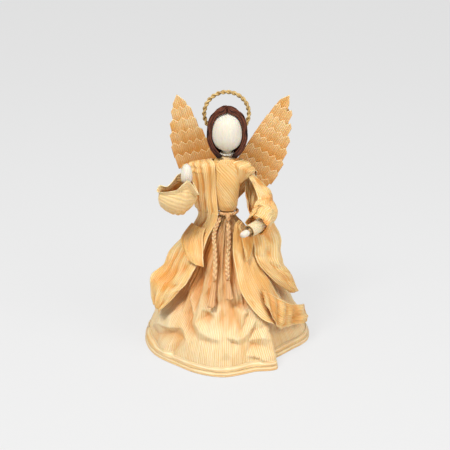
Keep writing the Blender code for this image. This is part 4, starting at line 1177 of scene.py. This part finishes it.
# The middle of the cuff, and then of the raised sleeve with its two half widths.
CUFF_RIGHT = [(22, -15.3, 0.977), (18, -19.2, 0.959), (12.8, -24.2, 0.944)]
SLEEVE_LEFT = [
    (-27.2, -4.5, 1.206, 2.6, 2.6), (-27.8, -9.5, 1.194, 3.8, 3.8), (-28.5, -13.5, 1.24, 6.0, 7.0),
    (-28.8, -16, 1.34, 7.2, 10.0), (-28.6, -16.5, 1.50, 8, 10.8),
]
# The wide rim that the raised sleeve opens into, from the back round to the back again.
SLEEVE_RIM = [
    (-28.5, -13.5, 1.77), (-23.1, -11.5, 1.79), (-16.2, -22, 1.50), (-21.6, -23, 1.75),
    (-25, -24, 1.71), (-29.6, -24, 1.60), (-39.6, -20, 1.53), (-38.6, -17.5, 1.62),
    (-34.0, -17.0, 1.60), (-28.5, -13.5, 1.77),
]
ARM_LEFT = [(-10.0, 0.8, 1.738), (-15.5, 1.8, 1.588), (-21.5, 2, 1.412), (-26.5, -1.5, 1.25),
            (-27.5, -8.5, 1.203), (-26.2, -14.5, 1.294), (-23.8, -16, 1.44), (-23.4, -16, 1.63)]
ARM_RIGHT = [(14.2, -0.5, 1.66), (17.2, -1.2, 1.50), (21.3, -3, 1.31), (23.6, -7.5, 1.12),
             (22.3, -14.2, 0.985), (18, -19.2, 0.959), (12.6, -24.4, 0.943)]


# %% Lowered sleeve
def near_fold(v, place, wide):
    """From 1 at a place down to 0 at wide from it."""
    return np.clip(1 - np.abs(v - place) / wide, 0, 1)


def in_metres(points):
    """The points of a table with its mm and its level made metres."""
    return [(x * MM, y * MM, float(height_at(level)), *(size * MM for size in rest))
            for x, y, level, *rest in points]


def opened_sleeve(u, v):
    """The husk of the lowered sleeve, from its front edge round the back to its inner edge."""
    points = in_metres(SLEEVE_RIGHT)
    centre, side, up = frames(lambda t: along([p[:3] for p in points], t), v, (0, 1, 0))
    outwards, inwards, square = along([p[3:6] for p in points], v).T
    first, last = along([p[6:] for p in SLEEVE_RIGHT], v).T
    a = np.radians(first + (last - first) * u)
    grow = 1 + 0.42 * (crumpled(u * 38, v * 50, 8, 140) - 0.45) * smooth(0, 0.1, v)
    across = np.where(np.cos(a) > 0, outwards, inwards) * np.cos(a) * grow
    return centre + side * across[:, None] + up * (square * np.sin(a) * grow)[:, None]


# Painted shade in the crease at the elbow, and random patches of the same deeper orange.
def opened_deep(u, v):
    elbow = 0.8 * near_fold(v, 0.47 + 0.1 * u, 0.13) * smooth(0.02, 0.12, u)
    return np.maximum(elbow, 0.75 * smooth(0.0, 0.6, noise(u * 4, v * 6, 143)))


piece = husk_sheet("sleeve_lowered", opened_sleeve, 130, 130, ["sleeve_right"], MANTLE,
                   grain=lambda u, v: np.stack([u * 36, v * 55], axis=-1), deep=opened_deep)
print("lowered sleeve")

# %% Raised sleeve
left_points = in_metres(SLEEVE_LEFT)
rim_points = [p[:3] for p in in_metres(SLEEVE_RIM)]


def bell_place(u, v):
    """A gathered tube at the elbow that opens into the wide uneven rim."""
    centre, side, up = frames(lambda t: along([p[:3] for p in left_points], t), v, (1, 0, 0))
    sizes = along([p[3:] for p in left_points], v)
    a = 2 * np.pi * u
    pleats = 1 + 0.05 * np.abs(np.sin(9 * a / 2 + 1.5 * np.sin(2 * a))) - 0.02
    tube = tube_points(centre, side, up, sizes[:, 0] * pleats, sizes[:, 1] * pleats, u)
    flare = np.clip((v - 0.45) / 0.55, 0, 1) ** 1.5
    rim = along(rim_points, u)
    point = tube * (1 - flare[:, None]) + rim * flare[:, None]
    outward = (tube - centre) / np.linalg.norm(tube - centre, axis=1)[:, None]
    swell = 1.7 * near_fold(v, 0.58, 0.26) - 1.0 * near_fold(v, 0.84, 0.14)
    swell += 2.2 * (crumpled(u * 50, v * 36, 9, 150) - 0.4) * np.sin(np.pi * v)
    return point + outward * (swell * MM)[:, None]


# Painted shade down the gathered part of the sleeve, and painted light at the rim, which lightens the
# inside of the bell.
piece = husk_sheet("sleeve_raised", bell_place, 180, 100, ["sleeve_left"], SLEEVE,
                   grain=lambda u, v: np.stack([v * 30 + 3 * np.sin(2 * np.pi * u), u * 50], axis=-1),
                   deep=lambda u, v: 0.8 * (1 - smooth(0.25, 0.75, v)) - 0.6 * smooth(0.94, 1, v),
                   closed=True)
print("raised sleeve")


# %% Cuff
def cuff_place(u, v):
    path = lambda t: along([p[:3] for p in in_metres(CUFF_RIGHT)], t)
    centre, side, up = frames(path, v, (0, 1, 0))
    size = 3.5 * MM * (1 + 0.05 * noise(u * 8, v * 3, 160))
    return tube_points(centre, side, up, size, size, u)


# The depth mark paints shade at the cuff's open end.
husk_sheet("cuff_pale", cuff_place, 60, 30, ["cuff_right"], CUFF, closed=True,
           grain=lambda u, v: np.stack([u * 22, v * 14], axis=-1),
           deep=lambda u, v: 0.8 * smooth(0.96, 1, v))
print("cuff")

# %% Hands
HAND_OUTLINE = [(0.0, 0.5), (0.15, 0.86), (0.4, 1.0), (0.75, 0.8), (0.94, 0.4), (1.0, 0.1)]
# Each hand has its arm, a direction to keep its sides square to, its half width and its length.
HANDS = (("left", ARM_LEFT, (1, 0, 0), 3.4 * MM, 12 * MM),
         ("right", ARM_RIGHT, (0, 1, 0), 2.4 * MM, 6.4 * MM))
for side, route, reference, half, long in HANDS:
    points = in_metres(route)
    ends = along(points, np.array([0.9, 1.0]))
    ahead = (ends[1] - ends[0]) / np.linalg.norm(ends[1] - ends[0])

    def hand_place(u, v):
        """A flat twist of husk, folded once down its length."""
        path = lambda t: ends[1] + ahead * (0.3 * MM + long * t)[:, None]
        centre, way, up = frames(path, v, reference)
        size = half * between(HAND_OUTLINE, v)
        fold = 1 + 0.07 * np.sin(4 * np.pi * u + 3 * v) + 0.05 * np.abs(np.sin(9 * np.pi * u + 4 * v))
        return tube_points(centre, way, up, 0.75 * size * fold, size * fold, u)
    solid_tube("palm_" + side, hand_place, 60, 40, ["hand_" + side], PALE,
               grain=lambda u, v: np.stack([u * 14, v * 10], axis=-1))
    print("hand", side)

# %% [markdown]
# ## Wings
#
# Each wing is a backing husk with eight rows glued over it. Every row's top edge is cut with pinking
# shears, and each lower row covers the foot of the one above. The grain runs up the wing, the cut edges
# are paler, and each row is a slightly different piece of husk. Teeth could be cut out of a plain sheet,
# but they are quicker and cleaner when each column of the grid simply ends at its own height.

# %% The wings' outlines
# Each wing has its tilt in degrees, its foot in mm from the middle, and its outline: the way up it and the
# places of its inner and outer edge, all in mm.
WINGS = {
    "right": (34, 12, [(0, -12, 7), (5, -13.8, 10.9), (16, -14.4, 13.1), (32, -14.5, 8.6),
                       (39, -14.5, 5.2), (50.5, -13.4, -2.0), (56, -12.9, -6.2), (60, -12.0, -9.5)]),
    "left": (16, 8, [(0, -7, 8), (8, -7.8, 14), (14.3, -7.5, 16.6), (25, -6, 18.5), (32.5, -4.2, 17.6),
                     (38.4, -2, 16.3), (48.4, -0.4, 12.3), (54.6, 1.2, 10.4), (60, 3.5, 7.0)]),
}
# How much of the deeper colour each row has, from the lowest up.
ROW_TONE = (0.40, 0.30, 0.40, 0.45, 0.30, 0.0, 0.05, -0.05)
ROWS = len(ROW_TONE)
ROW_PITCH, ROW_HIGH, TOOTH_PITCH, TOOTH_DEEP = 7.0 * MM, 9.6 * MM, 5.0 * MM, 2.2 * MM


def wing_point(side, length, across, lift):
    """Points of a wing, which is tilted outwards and swept back behind the shoulders."""
    tilt, foot, _ = WINGS[side]
    a = math.radians(tilt)
    out = foot * MM + length * np.sin(a) + across * np.cos(a)
    high = NECK - 23 * MM + length * np.cos(a) - across * np.sin(a)
    deep = 9.15 * MM + 0.28 * np.abs(out) - lift
    return np.stack([out if side == "right" else -out, deep, high], axis=-1)


# %% Backings and rows
INSET = 2.2 * MM
BACKING_LONG = 51 * MM
TIP_DEEP = 5.0 * MM
for side in ("left", "right"):
    outline = WINGS[side][2]

    def backing(u, v):
        length = INSET + (BACKING_LONG - INSET) * v
        edges = between(outline, length / MM) * MM
        across = edges[:, 0] + INSET + (edges[:, 1] - edges[:, 0] - 2 * INSET) * u
        return wing_point(side, length, across, 0.1 * MM * noise(u * 5, v * 12, 170))
    husk_sheet("wing_back_" + side, backing, 40, 90, [f"wing_{side}_backing"], WING,
               grain=lambda u, v: np.stack([u * 22, v * 56], axis=-1))
    for row in range(ROWS):
        foot = ROW_PITCH * row
        edges = between(outline, (foot + 0.6 * ROW_HIGH) / MM) * MM
        wide = float(edges[1]) - float(edges[0])
        at_tip = row == ROWS - 1
        teeth = 1 if at_tip else max(1, round(wide / TOOTH_PITCH))
        tooth_deep = TIP_DEEP if at_tip else TOOTH_DEEP

        def strip(u, v):
            tooth = np.abs((teeth * u) % 1 - 0.5) * 2
            length = foot + (ROW_HIGH - tooth_deep * tooth) * v
            sides = between(outline, (foot + ROW_HIGH * (0.6 + 0.12 * v)) / MM) * MM
            lift = 0.75 * MM + 0.65 * MM * v + 0.12 * MM * noise(u * 5, v * 2 + row * 3, 171)
            return wing_point(side, length, sides[:, 0] + (sides[:, 1] - sides[:, 0]) * u, lift)

        def strip_deep(u, v):
            """Painted shade at the foot, where the row below it throws shade, the row's own share of the
            deeper colour, and pale along the cut edge.
            """
            return 0.35 * (1 - smooth(0.3, 0.75, v)) + ROW_TONE[row] - 0.9 * smooth(0.9, 1, v)
        husk_sheet(f"wing_{side}_strip_{row + 1}", strip, max(24, 12 * teeth), 24,
                   [f"wing_{side}_row_{row + 1}"], WING, thickness=0.35 * MM, deep=strip_deep,
                   grain=lambda u, v: np.stack([u * wide / MM + row * 37, v * 9.6 + row * 53], axis=-1))
    print("wing", side)

# %% [markdown]
# ## Floor and light
#
# The figure stands on a pale surface with no edge in sight, as in a small product picture. The strongest
# light is a soft square above and to the left. A wider, weaker one on the right and a dim white world fill
# its shadows. A pale floor under that light alone would come out grey, so most of what the camera sees of
# it is a plain glow, and the rest is the lit floor, which keeps the figure's shadow.

# %% Floor
SEEN_GLOW = 0.8


def floor_sheet():
    bm = bmesh.new()
    bmesh.ops.create_grid(bm, x_segments=1, y_segments=1, size=3.0)
    mesh = bpy.data.meshes.new("floor")
    bm.to_mesh(mesh)
    bm.free()
    made = bpy.data.objects.new("floor", mesh)
    bpy.context.scene.collection.objects.link(made)
    finish, tree, shader = start_finish("floor", 0.9, 0.1)
    cloudy = noise_field(tree, node(tree, "ShaderNodeTexCoord").outputs["Object"], 3, 2)
    paint = mixed(tree, cloudy, (0.74, 0.74, 0.745), (0.76, 0.76, 0.76))
    tree.links.new(paint, shader.inputs["Base Color"])
    lit = node(tree, "ShaderNodeEmission")
    lit.inputs["Color"].default_value = (0.86, 0.86, 0.86, 1)
    blend = node(tree, "ShaderNodeMixShader")
    rays = node(tree, "ShaderNodeLightPath").outputs
    seen = maths(tree, "ADD", rays["Is Camera Ray"], rays["Is Glossy Ray"])
    seen = maths(tree, "ADD", seen, rays["Is Transmission Ray"], clamp=True)
    seen = maths(tree, "MULTIPLY", seen, SEEN_GLOW)
    tree.links.new(seen, blend.inputs[0])
    tree.links.new(shader.outputs[0], blend.inputs[1])
    tree.links.new(lit.outputs[0], blend.inputs[2])
    tree.links.new(blend.outputs[0], tree.nodes["Material Output"].inputs["Surface"])
    mesh.materials.append(finish)
    return made


floor_sheet()
print("floor")

# %% World and lights
world = bpy.data.worlds.new("studio")
bpy.context.scene.world = world
world.use_nodes = True
world.node_tree.nodes["Background"].inputs["Color"].default_value = (1.0, 1.0, 1.0, 1)
world.node_tree.nodes["Background"].inputs["Strength"].default_value = 0.31


def softbox(name, place, size, energy):
    """A square soft light at a place, turned to the middle of the figure."""
    data = bpy.data.lights.new(name, "AREA")
    data.energy = energy
    data.size = size
    light = bpy.data.objects.new(name, data)
    light.location = place
    light.rotation_euler = (Vector((0, 0, 0.06)) - Vector(place)).to_track_quat("-Z", "Y").to_euler()
    bpy.context.scene.collection.objects.link(light)


softbox("key", (-0.30, -0.38, 0.80), 0.26, 6.1)
softbox("fill", (0.50, -0.35, 0.50), 0.45, 2.6)
bpy.context.scene.view_settings.view_transform = "Standard"
print("lights and world")
